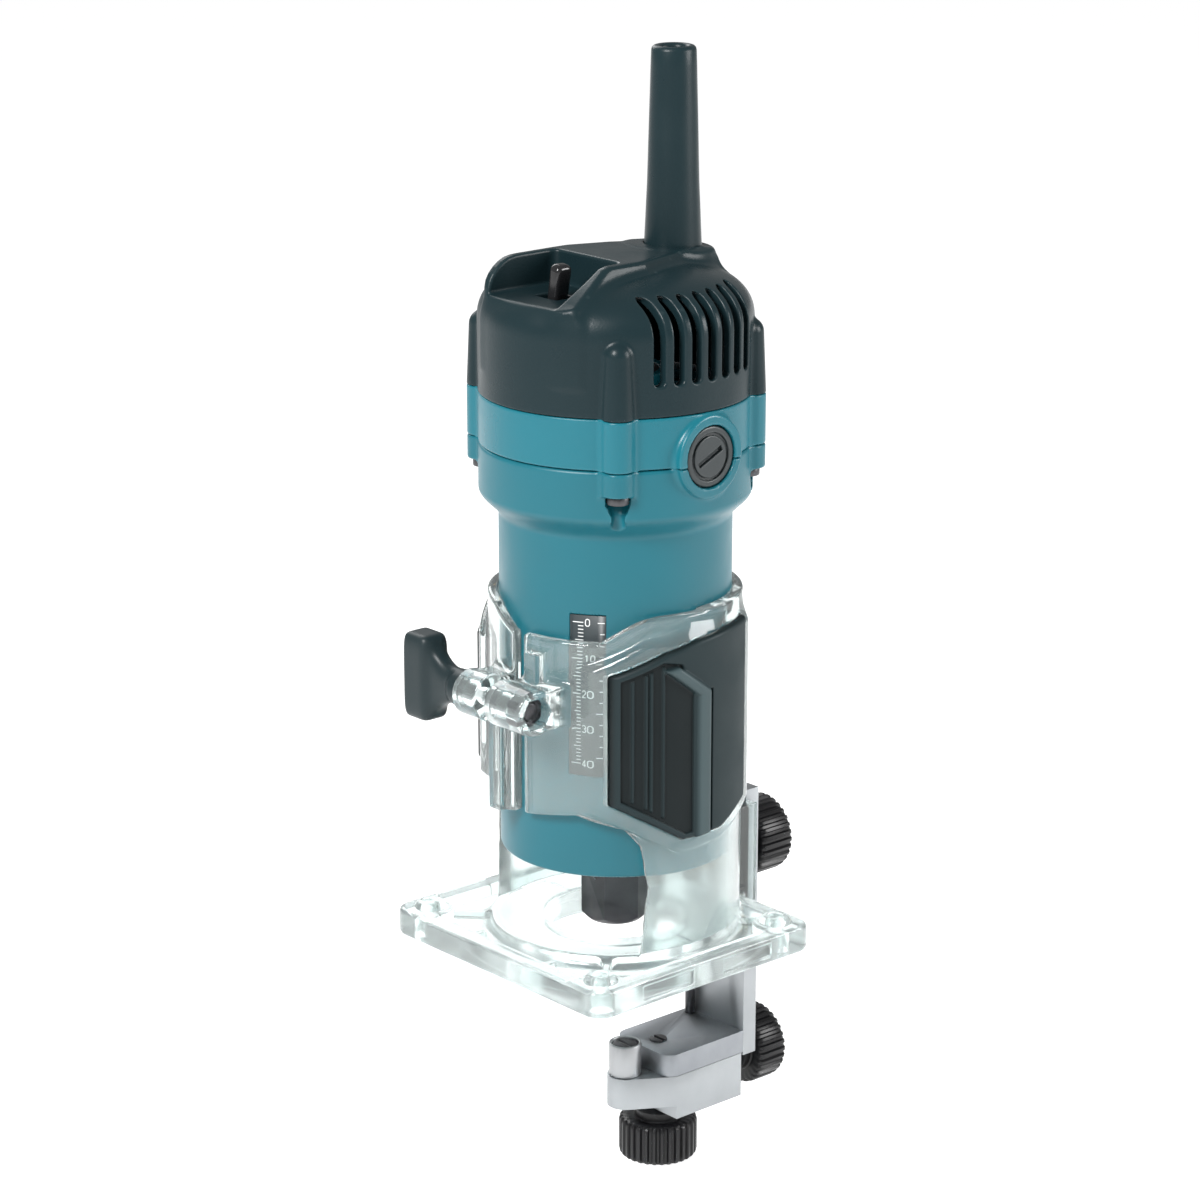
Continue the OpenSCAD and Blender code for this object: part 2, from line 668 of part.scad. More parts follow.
module housing_screws() color([0.25, 0.25, 0.27]) at_columns() {
    translate([0, 0, zp - ear_drop - 2.4]) cylinder(r = screw_head_r, h = 2.4 - 0.02);
    translate([0, 0, zp - ear_drop - 0.1]) cylinder(r = screw_r, h = ear_drop + ring_h + 12);
}

// ---------- brushes ----------

module brush_caps() color([0.12, 0.13, 0.14]) both_sides() difference() {
    union() {
        x_rod(cap_x, 0, brush_z, cap_r, cap_t);
        x_rod(cap_x - cap_stem, 0, brush_z, cap_stem_r, cap_stem + eps);
    }
    translate([cap_x + cap_t - 0.9, 0, brush_z]) rotate([slot_turn, 0, 0]) span([0, -4.4, -0.8], [far, 4.4, 0.8]);
    translate([cap_x + cap_t - 0.6, 0, brush_z]) rotate([0, 90, 0]) tube(6.7, 5.7, far);
}

module brush_holders() color([0.72, 0.6, 0.3]) both_sides() difference() {
    x_rod(comm_r + 3, 0, brush_z, holder_r, cap_x - comm_r - 3 - 0.02);
    span([0, -brush_w / 2 - 0.2, brush_z - brush_h / 2 - 0.2],
        [cap_x - cap_stem - 0.5, brush_w / 2 + 0.2, brush_z + brush_h / 2 + 0.2]);
    x_rod(cap_x - cap_stem - 0.6, 0, brush_z, cap_stem_r + seat_gap, far);
}

module carbon_brushes() color([0.2, 0.2, 0.2]) both_sides()
    span([brush_tip, -brush_w / 2, brush_z - brush_h / 2], [brush_back, brush_w / 2, brush_z + brush_h / 2]);

// A wire of radius w wound n turns at radius r over a length, along Z from 0
function ring_at(r, w, len, n, t) = let (a = 360 * n * t)
    [for (k = [0 : 5]) [(r + w * cos(60 * k)) * cos(a), (r + w * cos(60 * k)) * sin(a), w + (len - 2 * w) * t + w * sin(60 * k)]];

module coil_spring(r, w, len, n) {
    steps = n * 14;
    points = [for (i = [0 : steps]) each ring_at(r, w, len, n, i / steps)];
    sides = [for (i = [0 : steps - 1]) for (k = [0 : 5])
        [6 * i + k, 6 * i + (k + 1) % 6, 6 * i + 6 + (k + 1) % 6, 6 * i + 6 + k]];
    ends = [[for (k = [5 : -1 : 0]) k], [for (k = [0 : 5]) 6 * steps + k]];
    polyhedron(points, concat([for (f = sides) [f[3], f[2], f[1], f[0]]], [for (f = ends) [for (k = [5 : -1 : 0]) f[k]]]));
}

module brush_springs() color([0.7, 0.7, 0.7]) both_sides()
    translate([brush_back + 0.02, 0, brush_z]) rotate([0, 90, 0])
    coil_spring(1.9, 0.3, cap_x - cap_stem - brush_back - 0.04, 4);

// ---------- field and bearings ----------

module sector(r_in, r_out, z_low, z_high, a_start, a_size) translate([0, 0, z_low]) rotate([0, 0, a_start])
    rotate_extrude(angle = a_size) translate([r_in, 0]) square([r_out - r_in, z_high - z_low]);

module field_core() color([0.5, 0.5, 0.52]) difference() {
    translate([0, 0, core_z]) cylinder(r = core_r, h = core_len);
    translate([0, 0, core_z - 1]) cylinder(r = pole_r, h = far);
    for (a = [-46, 134]) sector(pole_r - 1, coil_out + 0.15, core_z - 1, core_top + 1, a, 92);
}

module field_coils() color([0.72, 0.4, 0.2]) for (a = [0, 180]) difference() {
    sector(coil_in, coil_out, core_z - coil_end, core_top + coil_end, a + 4, 172);
    sector(coil_in - 1, coil_out + 1, core_z - 0.05, core_top + 0.05, a + 44, 92);
}

module baffle_plate() color([0.15, 0.15, 0.16])
    translate([0, 0, fan_z + fan_h + 1.5]) tube(inner_r - 0.1, 12.5, 2);

module bearing_retainer() color([0.6, 0.6, 0.62])
    translate([0, 0, bearing_z + bearing_t + 0.42]) tube(bearing_r + 2.8, 12.2, 1.5);

module lower_bearing_outer() color([0.7, 0.71, 0.73]) translate([0, 0, bearing_z]) tube(bearing_r, 11.4, bearing_t);

module lower_bearing_balls() color([0.8, 0.8, 0.82]) for (i = [0 : 8]) rotate(i * 40)
    translate([10, 0, bearing_z + bearing_t / 2]) sphere(1.3);

module lower_bearing_inner() color([0.7, 0.71, 0.73]) translate([0, 0, bearing_z]) tube(8.6, nose_r2 + 0.02, bearing_t);

module upper_bearing_outer() color([0.7, 0.71, 0.73]) translate([0, 0, upper_z + 0.5]) tube(upper_r, 7.2, upper_t);

module bearing_boot() color([0.12, 0.12, 0.12]) translate([0, 0, upper_z + 0.1]) tube(boot_r, upper_r + 0.02, upper_t + 1);

module upper_bearing_inner() color([0.7, 0.71, 0.73]) translate([0, 0, upper_z + 0.5]) tube(6.4, shaft_top_r + 0.02, upper_t);

// ---------- spindle ----------

module motor_shaft() color([0.7, 0.7, 0.72]) difference() {
    union() {
        translate([0, 0, nose_z]) cylinder(r = nose_r2, h = bearing_z + bearing_t + 0.5 - nose_z);
        translate([0, 0, bearing_z + bearing_t]) cylinder(r = shaft_r + 1, h = fan_z - bearing_z - bearing_t);
        translate([0, 0, fan_z - eps]) cylinder(r = shaft_r, h = upper_z - fan_z);
        translate([0, 0, upper_z - 1]) cylinder(r = shaft_top_r, h = upper_t + 2);
    }
    translate([0, 0, nose_z - eps]) cylinder(r1 = shank_d / 2 + 1.6, r2 = shank_d / 2 + 0.5, h = 14);
    translate([0, 0, nose_z]) cylinder(r = shank_d / 2 + 0.6, h = 32);
}

module collet_cone() color([0.45, 0.45, 0.47]) difference() {
    union() {
        translate([0, 0, nose_z - 3]) cylinder(r = shank_d / 2 + 1.5, h = 3 + eps);
        translate([0, 0, nose_z]) cylinder(r1 = shank_d / 2 + 1.5, r2 = shank_d / 2 + 0.45, h = 13.5);
    }
    translate([0, 0, nose_z - 4]) cylinder(r = shank_d / 2, h = far);
    for (a = [0, 90]) rotate(a) span([-far, -0.3, nose_z - 4], [far, 0.3, nose_z + 8]);
}

module collet_nut() color([0.13, 0.13, 0.14]) difference() {
    intersection() {
        translate([0, 0, nut_z]) hex(nut_af, nut_h);
        translate([0, 0, nut_z]) cylinder(r1 = nut_af / 2 - 0.6, r2 = nut_af / 2 - 0.6 + nut_h, h = nut_h);
    }
    translate([0, 0, nut_z - eps]) cylinder(r = shank_d / 2 + 0.6, h = far);
    translate([0, 0, nose_z - 3.4]) cylinder(r = shank_d / 2 + 1.9, h = 4);
    translate([0, 0, nose_z - 0.4]) cylinder(r = nose_r2 + run_gap, h = far);
}

module cooling_fan() color([0.2, 0.2, 0.22]) translate([0, 0, fan_z]) difference() {
    union() {
        cylinder(r = fan_r, h = 1.5);
        cylinder(r = 8, h = fan_h);
        for (i = [0 : 10]) rotate(i * 360 / 11) span([7, -0.7, 0], [fan_r - 0.5, 0.7, fan_h]);
    }
    translate([0, 0, -1]) cylinder(r = shaft_r + 0.02, h = far);
}

module armature_core() color([0.45, 0.45, 0.47]) difference() {
    translate([0, 0, core_z]) tube(armature_r, shaft_r + 0.02, core_len);
    for (i = [0 : 11]) rotate(i * 30) span([armature_r - 2, -0.9, core_z - 1], [far, 0.9, core_top + 1]);
}

module armature_windings() color([0.75, 0.42, 0.2]) for (z = [core_z - 5.5, core_top + 0.02]) translate([0, 0, z]) tube(armature_r - 2.5, shaft_r + 0.6, 5.48);

module commutator() color([0.8, 0.5, 0.25]) difference() {
    translate([0, 0, brush_z - 8]) tube(comm_r, shaft_r + 0.02, 16);
    for (i = [0 : 11]) rotate(i * 30) span([comm_r - 1, -0.3, brush_z - 7], [far, 0.3, brush_z + 9]);
}

// ---------- switch and cord guard ----------

module switch_body() color([0.1, 0.1, 0.11]) difference() {
    span([-switch_half[0], switch_y - switch_half[1], ceiling_z - 18],
        [switch_half[0], switch_y + switch_half[1], ceiling_z - 0.1]);
    span([-slot_x, switch_y - slot_y, pivot_z - 4], [slot_x, switch_y + slot_y, far]);
    y_rod(0, switch_y - 6, pivot_z, 1, 12);
}

module switch_pin() color([0.7, 0.7, 0.72]) y_rod(0, switch_y - 5.9, pivot_z, 0.98, 11.8);

module switch_lever() color([0.1, 0.1, 0.11]) translate([0, switch_y, pivot_z]) difference() {
    union() {
        rotate([0, lever_lean, 0]) span([-lever_w / 2, -lever_d / 2, 0], [lever_w / 2, lever_d / 2, zf - pivot_z - 0.4]);
        y_rod(0, -lever_d / 2, 0, 2.4, lever_d);
    }
    y_rod(0, -far, 0, 1.03, 2 * far);
}

module cord_guard() color([0.2, 0.24, 0.26]) translate([0, guard_y, 0]) difference() {
    union() {
        translate([0, 0, guard_z]) cylinder(r1 = guard_r, r2 = guard_end_d / 2, h = guard_len);
        translate([0, 0, ceiling_z + 0.4]) cylinder(r = guard_r, h = guard_z - ceiling_z);
        translate([0, 0, ceiling_z + 0.3]) cylinder(r = flange_r, h = 3.4);
    }
    translate([0, 0, ceiling_z - 1]) cylinder(r = guard_bore, h = far);
}

clear_base();
grip_pad_right();
grip_pad_left();
clamp_nut();
bracket_nut();
wing_grip();
wing_stud();
bracket_knob();
bracket_stud();
guide_bracket();
guide_foot();
guide_pin();
foot_screws();
adjust_knob();
adjust_screw();
guide_carriage();
roller_screw();
guide_roller();
lock_knob();
lock_screw();
barrel_housing();
housing_ring();
top_cover();
housing_screws();
scale_plate();
brush_caps();
brush_holders();
carbon_brushes();
brush_springs();
field_core();
field_coils();
baffle_plate();
bearing_retainer();
lower_bearing_outer();
lower_bearing_balls();
upper_bearing_outer();
bearing_boot();
switch_body();
switch_pin();
switch_lever();
cord_guard();
motor_shaft();
lower_bearing_inner();
upper_bearing_inner();
cooling_fan();
armature_core();
armature_windings();
commutator();
collet_cone();
collet_nut();
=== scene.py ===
import bpy, bmesh, json, math, openvdb
import numpy as np
from mathutils import Matrix, Vector


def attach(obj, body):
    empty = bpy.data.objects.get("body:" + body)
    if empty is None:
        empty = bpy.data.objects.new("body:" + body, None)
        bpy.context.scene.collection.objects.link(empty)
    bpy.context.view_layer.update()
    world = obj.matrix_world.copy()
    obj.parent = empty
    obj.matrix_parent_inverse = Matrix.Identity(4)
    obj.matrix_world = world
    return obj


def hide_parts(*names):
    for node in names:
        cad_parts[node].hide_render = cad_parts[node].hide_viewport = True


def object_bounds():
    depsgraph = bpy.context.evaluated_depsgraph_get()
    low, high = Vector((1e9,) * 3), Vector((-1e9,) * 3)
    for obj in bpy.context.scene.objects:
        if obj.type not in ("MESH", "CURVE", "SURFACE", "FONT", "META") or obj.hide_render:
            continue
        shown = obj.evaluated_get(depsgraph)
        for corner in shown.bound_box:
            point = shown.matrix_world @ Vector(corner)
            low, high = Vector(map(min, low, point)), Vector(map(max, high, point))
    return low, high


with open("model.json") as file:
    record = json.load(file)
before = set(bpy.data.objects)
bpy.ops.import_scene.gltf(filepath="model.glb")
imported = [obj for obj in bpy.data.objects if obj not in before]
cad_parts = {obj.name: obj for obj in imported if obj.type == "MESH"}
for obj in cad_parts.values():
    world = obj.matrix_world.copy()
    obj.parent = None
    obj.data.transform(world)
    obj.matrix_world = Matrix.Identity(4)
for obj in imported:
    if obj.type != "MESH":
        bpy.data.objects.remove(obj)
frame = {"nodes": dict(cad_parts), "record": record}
cad_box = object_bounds()

# ---- Studio -------------------------------------------------------------------------
# A long-lens camera a little above the tool, turned to its right front corner.
# The room is white paper: seen as white, dimmer as light, with a soft lamp on the left and two weaker ones.
turn, tilt = math.radians(48.659), math.radians(16.543)
aside = Vector((math.cos(turn), math.sin(turn), 0))
back = Vector((math.sin(turn) * math.cos(tilt), -math.cos(turn) * math.cos(tilt), math.sin(tilt)))
upward = back.cross(aside)
camera = bpy.data.objects.new("camera", bpy.data.cameras.new("camera"))
camera.data.sensor_width = 36
camera.data.lens = 108.564
camera.data.clip_end = 50
# metres from the origin: towards the right of the view, up it, and back along it
rightward, higher, away = -0.0043, 0.09641, 1.0403
spot = aside * rightward + upward * higher + back * away
camera.matrix_world = Matrix.Translation(spot) @ Matrix((aside, upward, back)).transposed().to_4x4()
bpy.context.scene.collection.objects.link(camera)
bpy.context.scene.camera = camera
bpy.context.scene.view_settings.view_transform = "Standard"

world = bpy.data.worlds.new("white_room")
world.use_nodes = True
room = world.node_tree
room.nodes["Background"].inputs["Color"].default_value = (1, 1, 1, 1)
ray = room.nodes.new("ShaderNodeLightPath")
seen = room.nodes.new("ShaderNodeMath")
level = room.nodes.new("ShaderNodeMapRange")
seen.operation = "MAXIMUM"
room.links.new(ray.outputs["Is Camera Ray"], seen.inputs[0])
room.links.new(ray.outputs["Is Transmission Ray"], seen.inputs[1])
room.links.new(seen.outputs[0], level.inputs["Value"])
as_light, as_seen = 0.33, 1.0
level.inputs["To Min"].default_value = as_light
level.inputs["To Max"].default_value = as_seen
room.links.new(level.outputs["Result"], room.nodes["Background"].inputs["Strength"])
bpy.context.scene.world = world


def soft_light(name, across, height, away, size, watts):
    """A square area light at a distance across, above and towards the camera, aimed at the barrel."""
    lamp = bpy.data.lights.new(name, "AREA")
    lamp.size, lamp.energy = size, watts
    thing = bpy.data.objects.new(name, lamp)
    level_back, barrel = Vector((back.x, back.y, 0)).normalized(), Vector((0, 0, 0.1))
    thing.location = aside * across + Vector((0, 0, height)) + level_back * away
    thing.rotation_euler = (barrel - thing.location).to_track_quat("-Z", "Y").to_euler()
    bpy.context.scene.collection.objects.link(thing)


soft_light("key", -0.5, 0.75, 0.6, 0.35, 13)
soft_light("edge", 0.85, 0.4, 0.15, 0.4, 6)
soft_light("rear", -0.4, 0.7, -0.8, 0.6, 4)

floor_mesh = bpy.data.meshes.new("floor")
reach, ground = 6, cad_box[0][2]
corners = [(x * reach, y * reach, ground) for x, y in ((-1, -1), (1, -1), (1, 1), (-1, 1))]
floor_mesh.from_pydata(corners, [], [(0, 1, 2, 3)])
floor = bpy.data.objects.new("floor", floor_mesh)
bpy.context.scene.collection.objects.link(floor)
paper = bpy.data.materials.new("paper")
paper.use_nodes = True
sheet = paper.node_tree.nodes["Principled BSDF"]
sheet.inputs["Base Color"].default_value = (0.6, 0.6, 0.6, 1)
sheet.inputs["Roughness"].default_value = 0.9
sheet.inputs["Emission Color"].default_value = (1, 1, 1, 1)
sheet.inputs["Emission Strength"].default_value = 0.78
floor_mesh.materials.append(paper)

# ---- Clear base -----------------------------------------------------------------------
# The plate, collar, clamp ears and bracket boss are one injection moulding of clear plastic. Its blends
# join too many forms for one grid of points, so it is meshed from a field of distances in millimetres.


def around(u, v):
    """Distance from the axis u = v = 0."""
    return np.sqrt(u * u + v * v)


def between(v, low, high):
    """Distance to the layer from low to high, less than nought inside it."""
    return np.maximum(low - v, v - high)


def join(a, b, r):
    """Both forms as one: the smaller distance, eased where they are within r of each other, as a fillet."""
    h = np.maximum(r - np.abs(a - b), 0) / r
    return np.minimum(a, b) - h * h * r / 4


def common(a, b, r):
    """What two forms share, its new edges rounded by about r."""
    return -join(-a, -b, r)


def cut(a, b, r):
    """Form a without form b, its new edges rounded by about r."""
    return -join(-a, b, r)


def outline(u, v, corners):
    """Signed distance to a closed outline: the nearest edge's distance, its sign by counting crossings."""
    near, inside = np.float32(1e9), np.zeros(np.broadcast(u, v).shape, bool)
    for (a, b), (c, d) in zip(corners, corners[1:] + corners[:1]):
        along = np.clip(((u - a) * (c - a) + (v - b) * (d - b)) / ((c - a) ** 2 + (d - b) ** 2), 0, 1)
        near = np.minimum(near, around(u - a - along * (c - a), v - b - along * (d - b)))
        if b != d:
            inside = inside ^ (((v >= b) != (v >= d)) & (u < a + (v - b) * (c - a) / (d - b)))
    return np.where(inside, -near, near)


def hexagon(u, v, flats):
    """Distance to a six-sided outline with flats facing plus and minus v."""
    return np.maximum(np.abs(v), np.abs(u) * math.cos(math.pi / 6) + np.abs(v) / 2) - flats / 2


def slope_of(form, p):
    """The field's slope at points: its change over a short step each way along X, Y and Z."""
    step = 0.03
    ways = np.eye(3) * step
    return np.stack([form(*(p + way).T) - form(*(p - way).T) for way in ways], 1) / (2 * step)


def onto(form, p, reach):
    """Points moved along the field's slope until they lie on the surface, and the unit normals there."""
    flattest = 0.25
    for _ in range(4):
        g = slope_of(form, p)
        step = form(*p.T) / np.maximum((g * g).sum(1), flattest)
        p = p - np.clip(step, -reach, reach)[:, None] * g
    g = slope_of(form, p)
    return p, g / np.maximum(np.linalg.norm(g, axis=1), 1e-6)[:, None]


def body_of(node):
    """The CAD body that a node belongs to."""
    return next(k for k, v in frame["record"]["behaviour"]["bodies"].items() if node in v)


def placed(name, mesh, material, slot, *nodes):
    """A finished piece: given its material, riding on its node's body, in place of the nodes; its slot is not
    used.
    """
    mesh.materials.append(material)
    thing = bpy.data.objects.new(name, mesh)
    bpy.context.scene.collection.objects.link(thing)
    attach(thing, body_of(nodes[0]))
    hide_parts(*nodes)
    return thing


MM = 0.001
# a moulded piece keeps at most this many four-cornered faces, twice as many triangles
FACES = 88000


def moulded(name, form, low, high, step, material, slot, node):
    """The surface where a form's distance in millimetres is nought, meshed on an even grid, thinned to
    at most FACES four-cornered faces, and moved onto the true surface with its true normals."""
    coarser, outside = 1.7, 9.0
    axes = [np.arange(a - 2 * step, b + 3 * step, step, dtype=np.float32) for a, b in zip(low, high)]
    field = form(axes[0][:, None, None], axes[1][None, :, None], axes[2][None, None, :])
    grid = openvdb.FloatGrid(outside)
    grid.copyFromArray(np.array(np.broadcast_to(field, [len(a) for a in axes]), np.float32))
    p, quads = grid.convertToQuads(isovalue=0)
    p = p.astype(np.float64) * step + [a[0] for a in axes]
    p = onto(form, p, step / 2)[0]
    mesh = bpy.data.meshes.new(name)
    mesh.from_pydata(p * MM, [], quads)
    if len(quads) > FACES:
        rough = bpy.data.objects.new("rough", mesh)
        bpy.context.scene.collection.objects.link(rough)
        thin = rough.modifiers.new("thin", "DECIMATE")
        thin.ratio = FACES / len(quads)
        finished = rough.evaluated_get(bpy.context.evaluated_depsgraph_get())
        mesh = bpy.data.meshes.new_from_object(finished)
        mesh.name = name
        bpy.data.objects.remove(rough)
    p = np.empty(len(mesh.vertices) * 3, np.float32)
    mesh.vertices.foreach_get("co", p)
    p, normals = onto(form, p.reshape(-1, 3).astype(np.float64) / MM, step / 3)
    mesh.vertices.foreach_set("co", (p * MM).astype(np.float32).ravel())
    mesh.update()
    mesh.shade_smooth()
    mesh.normals_split_custom_set_from_vertices(normals.astype(np.float32))
    return placed(name, mesh, material, slot, node)


# outline of the grips and of their pockets, seen from the side as (y, z)
GRIP = [(-26.4, 53), (-26.4, 90), (-13.6, 96), (-3.6, 98.6), (16.8, 100.7), (16.8, 48.5), (5, 42.6),
        (-8.6, 41.8)]
# the clamp screw's axis along X, and the height of the bracket screw's axis along Y
CLAMP_Y, CLAMP_Z, BRACKET_Z = -43.28, 80.5, 18


def base_form(x, y, z):
    """Plate less its sunk panels, joined by fillets to the collar, the grips' seats, the clamp ears and the
    bracket's boss, then less the bores, the window, the slit, the pockets and the screw holes."""
    plate_top, collar_top = 8, 105.5
    wall_outside, wall_inside, seat_outside, bit_hole = 35.68, 32.58, 38.28, 20
    screw_hole, plate_hole, nut_flats = 2.56, 2.15, 8.2
    wide, r = np.abs(x), around(x, y)
    # rounded rectangle: half sides less the corner radius, then the distance to it
    qx, qy = wide - 39.5, np.abs(y + 5) - 35.5
    edge = around(np.maximum(qx, 0), np.maximum(qy, 0)) + np.minimum(np.maximum(qx, qy), 0) - 5.5
    corner = around(wide - 37, np.where(y < 0, y + 38, y - 28))
    # panels sunk inside the rim, less the ring round the bit, the corner bosses and the ribs
    slanted = np.abs(wide - np.abs(y)) * 0.707 - 1
    straight = np.maximum(np.abs(wide - 15) - 1.2, y + 36)
    kept = np.minimum(np.minimum(r - 23, corner - 6.5), np.maximum(z - 6.6, np.minimum(slanted, straight)))
    sunk = np.maximum(np.maximum(edge + 6, 4.5 - z), -kept)
    plate = cut(common(edge, between(z, 0, plate_top), 1.6), sunk, 1.2)
    plate = np.minimum(plate, common(corner - 4.7 + (z - plate_top) * 0.35, between(z, 1, 10), 1.6))
    # side recesses between the rim's ribs
    notch = np.maximum(np.maximum(44.2 - wide, between(z, 2.2, 6)), np.abs(np.abs(y + 5) - 15) - 9)
    plate = cut(plate, notch, 0.6)
    # collar, with a thicker wall round the grips and a sloping crown over them
    collar = common(r - wall_outside, between(z, 1, collar_top), 1.0)
    lift = np.clip((z - 98) / 7.5, 0, 1)
    seat = common(r - (seat_outside - 3.6 * lift), z - collar_top, 1.4)
    side = outline(y, z, [(-29.3, 51), (-29.3, 91), (-16, 99.5), (-10.7, 106.5), (21.4, 106.5), (21.4, 46.5),
                          (5.7, 39.4), (-9.3, 38.6)])
    seat = common(common(seat, side - 0.8, 1.6), 12 - wide, 1)
    shell = join(join(collar, seat, 1.6), plate, 3.0)
    # clamp ears round the clamp screw, a rib below them on the left and above them on the right
    clamp = around(y - CLAMP_Y, z - CLAMP_Z)
    ears = common(clamp - 6.6, between(x, -12, 17), 1.2)
    webs = common(np.maximum(between(z, 74.9, 86.1), between(y, -43.3, -30)), between(x, -12, 17), 1.0)
    below = np.maximum(between(x, -9, -4), np.maximum(between(z, 46, CLAMP_Z), between(y, -39.1, -31.6)))
    above = np.maximum(between(x, 5, 10), np.maximum(between(z, CLAMP_Z, 94.5), between(y, -38.1, -31.6)))
    ears = join(np.minimum(ears, webs), np.minimum(below, above), 1.0)
    shell = join(shell, ears, 2.2)
    # boss that carries the bracket, with a lip down each side
    boss = common(np.maximum(between(y, 29.6, 40), between(z, 4.5, 35)), wide - 15, 1.2)
    lips = np.maximum(np.maximum(between(y, 29.6, 42), between(z, 4.5, 35)), between(wide, 12.3, 15))
    shell = join(shell, np.minimum(boss, lips + 0.125), 2.0)
    # bores, window, crown's front edge, slit, grip pockets
    shell = cut(shell, np.maximum(r - wall_inside, plate_top - z), 0.5)
    shell = cut(shell, r - bit_hole, 1.0)
    window = outline(x, z, [(-30.3, 8), (30.3, 8), (31.3, 28), (30.3, 40), (28, 45), (17.9, 48.6), (0, 46),
                            (-17.9, 44), (-28, 42), (-31, 37)])
    shell = cut(shell, np.maximum(window, y), 1.0)
    top = outline(x, z, [(-3, 98.5), (22.8, 98.5), (30.6, 105.5), (60, 105.6), (60, 140), (-60, 140),
                         (-60, 105.6), (-21.2, 105.5), (-13, 103.9)])
    shell = cut(shell, np.maximum(top, y), 1.2)
    shell = cut(shell, np.maximum(np.maximum(wide - 2, y), 26 - z), 0.8)
    pad = outline(y, z, GRIP) - 0.15
    shell = cut(shell, np.maximum(np.maximum(pad, 36.23 - r), 5 - wide), 0.5)
    # screw holes and nut pockets
    shell = cut(shell, clamp - screw_hole, 0.4)
    shell = cut(shell, np.maximum(hexagon(y - CLAMP_Y, z - CLAMP_Z, nut_flats), 10 - x), 0.4)
    shell = cut(shell, np.maximum(around(x, z - BRACKET_Z) - screw_hole, -y), 0.4)
    pocket = np.maximum(np.maximum(hexagon(z - BRACKET_Z, x, nut_flats), y - 37.2), -y)
    shell = cut(shell, pocket, 0.4)
    return cut(shell, corner - plate_hole, 0.5)


def value_node(tree, kind, **values):
    """A shader node with its unlinked inputs set by name."""
    node = tree.nodes.new(kind)
    for label, value in values.items():
        node.inputs[label.replace("_", " ")].default_value = value
    return node


def grain_group():
    """Node group: fine moulding grain and broad handling marks, from two noises in Object space."""
    g = bpy.data.node_groups.new("moulding_grain", "ShaderNodeTree")
    for label, value in (("Grain Scale", 3000.0), ("Mark Scale", 60.0)):
        g.interface.new_socket(label, in_out="INPUT", socket_type="NodeSocketFloat").default_value = value
    for label in ("Height", "Marks"):
        g.interface.new_socket(label, in_out="OUTPUT", socket_type="NodeSocketFloat")
    inside, outside = g.nodes.new("NodeGroupInput"), g.nodes.new("NodeGroupOutput")
    where = g.nodes.new("ShaderNodeTexCoord")
    for source, target in (("Grain Scale", "Height"), ("Mark Scale", "Marks")):
        noise = value_node(g, "ShaderNodeTexNoise", Detail=4)
        g.links.new(where.outputs["Object"], noise.inputs["Vector"])
        g.links.new(inside.outputs[source], noise.inputs["Scale"])
        g.links.new(noise.outputs["Fac"], outside.inputs[target])
    return g


def rub_group():
    """Node group: mask of worn edges, the convex places of the surface broken up by noise."""
    g = bpy.data.node_groups.new("edge_rub", "ShaderNodeTree")
    g.interface.new_socket("Amount", in_out="INPUT", socket_type="NodeSocketFloat").default_value = 0.5
    g.interface.new_socket("Mask", in_out="OUTPUT", socket_type="NodeSocketFloat")
    inside, outside = g.nodes.new("NodeGroupInput"), g.nodes.new("NodeGroupOutput")
    shape = g.nodes.new("ShaderNodeNewGeometry")
    ramp = value_node(g, "ShaderNodeMapRange", From_Min=0.51, From_Max=0.6)
    where = g.nodes.new("ShaderNodeTexCoord")
    noise = value_node(g, "ShaderNodeTexNoise", Scale=180, Detail=5)
    first, second = g.nodes.new("ShaderNodeMath"), g.nodes.new("ShaderNodeMath")
    first.operation = second.operation = "MULTIPLY"
    g.links.new(shape.outputs["Pointiness"], ramp.inputs["Value"])
    g.links.new(where.outputs["Object"], noise.inputs["Vector"])
    g.links.new(ramp.outputs["Result"], first.inputs[0])
    g.links.new(noise.outputs["Fac"], first.inputs[1])
    g.links.new(first.outputs[0], second.inputs[0])
    g.links.new(inside.outputs["Amount"], second.inputs[1])
    g.links.new(second.outputs[0], outside.inputs["Mask"])
    return g


GRAIN, RUB = grain_group(), rub_group()


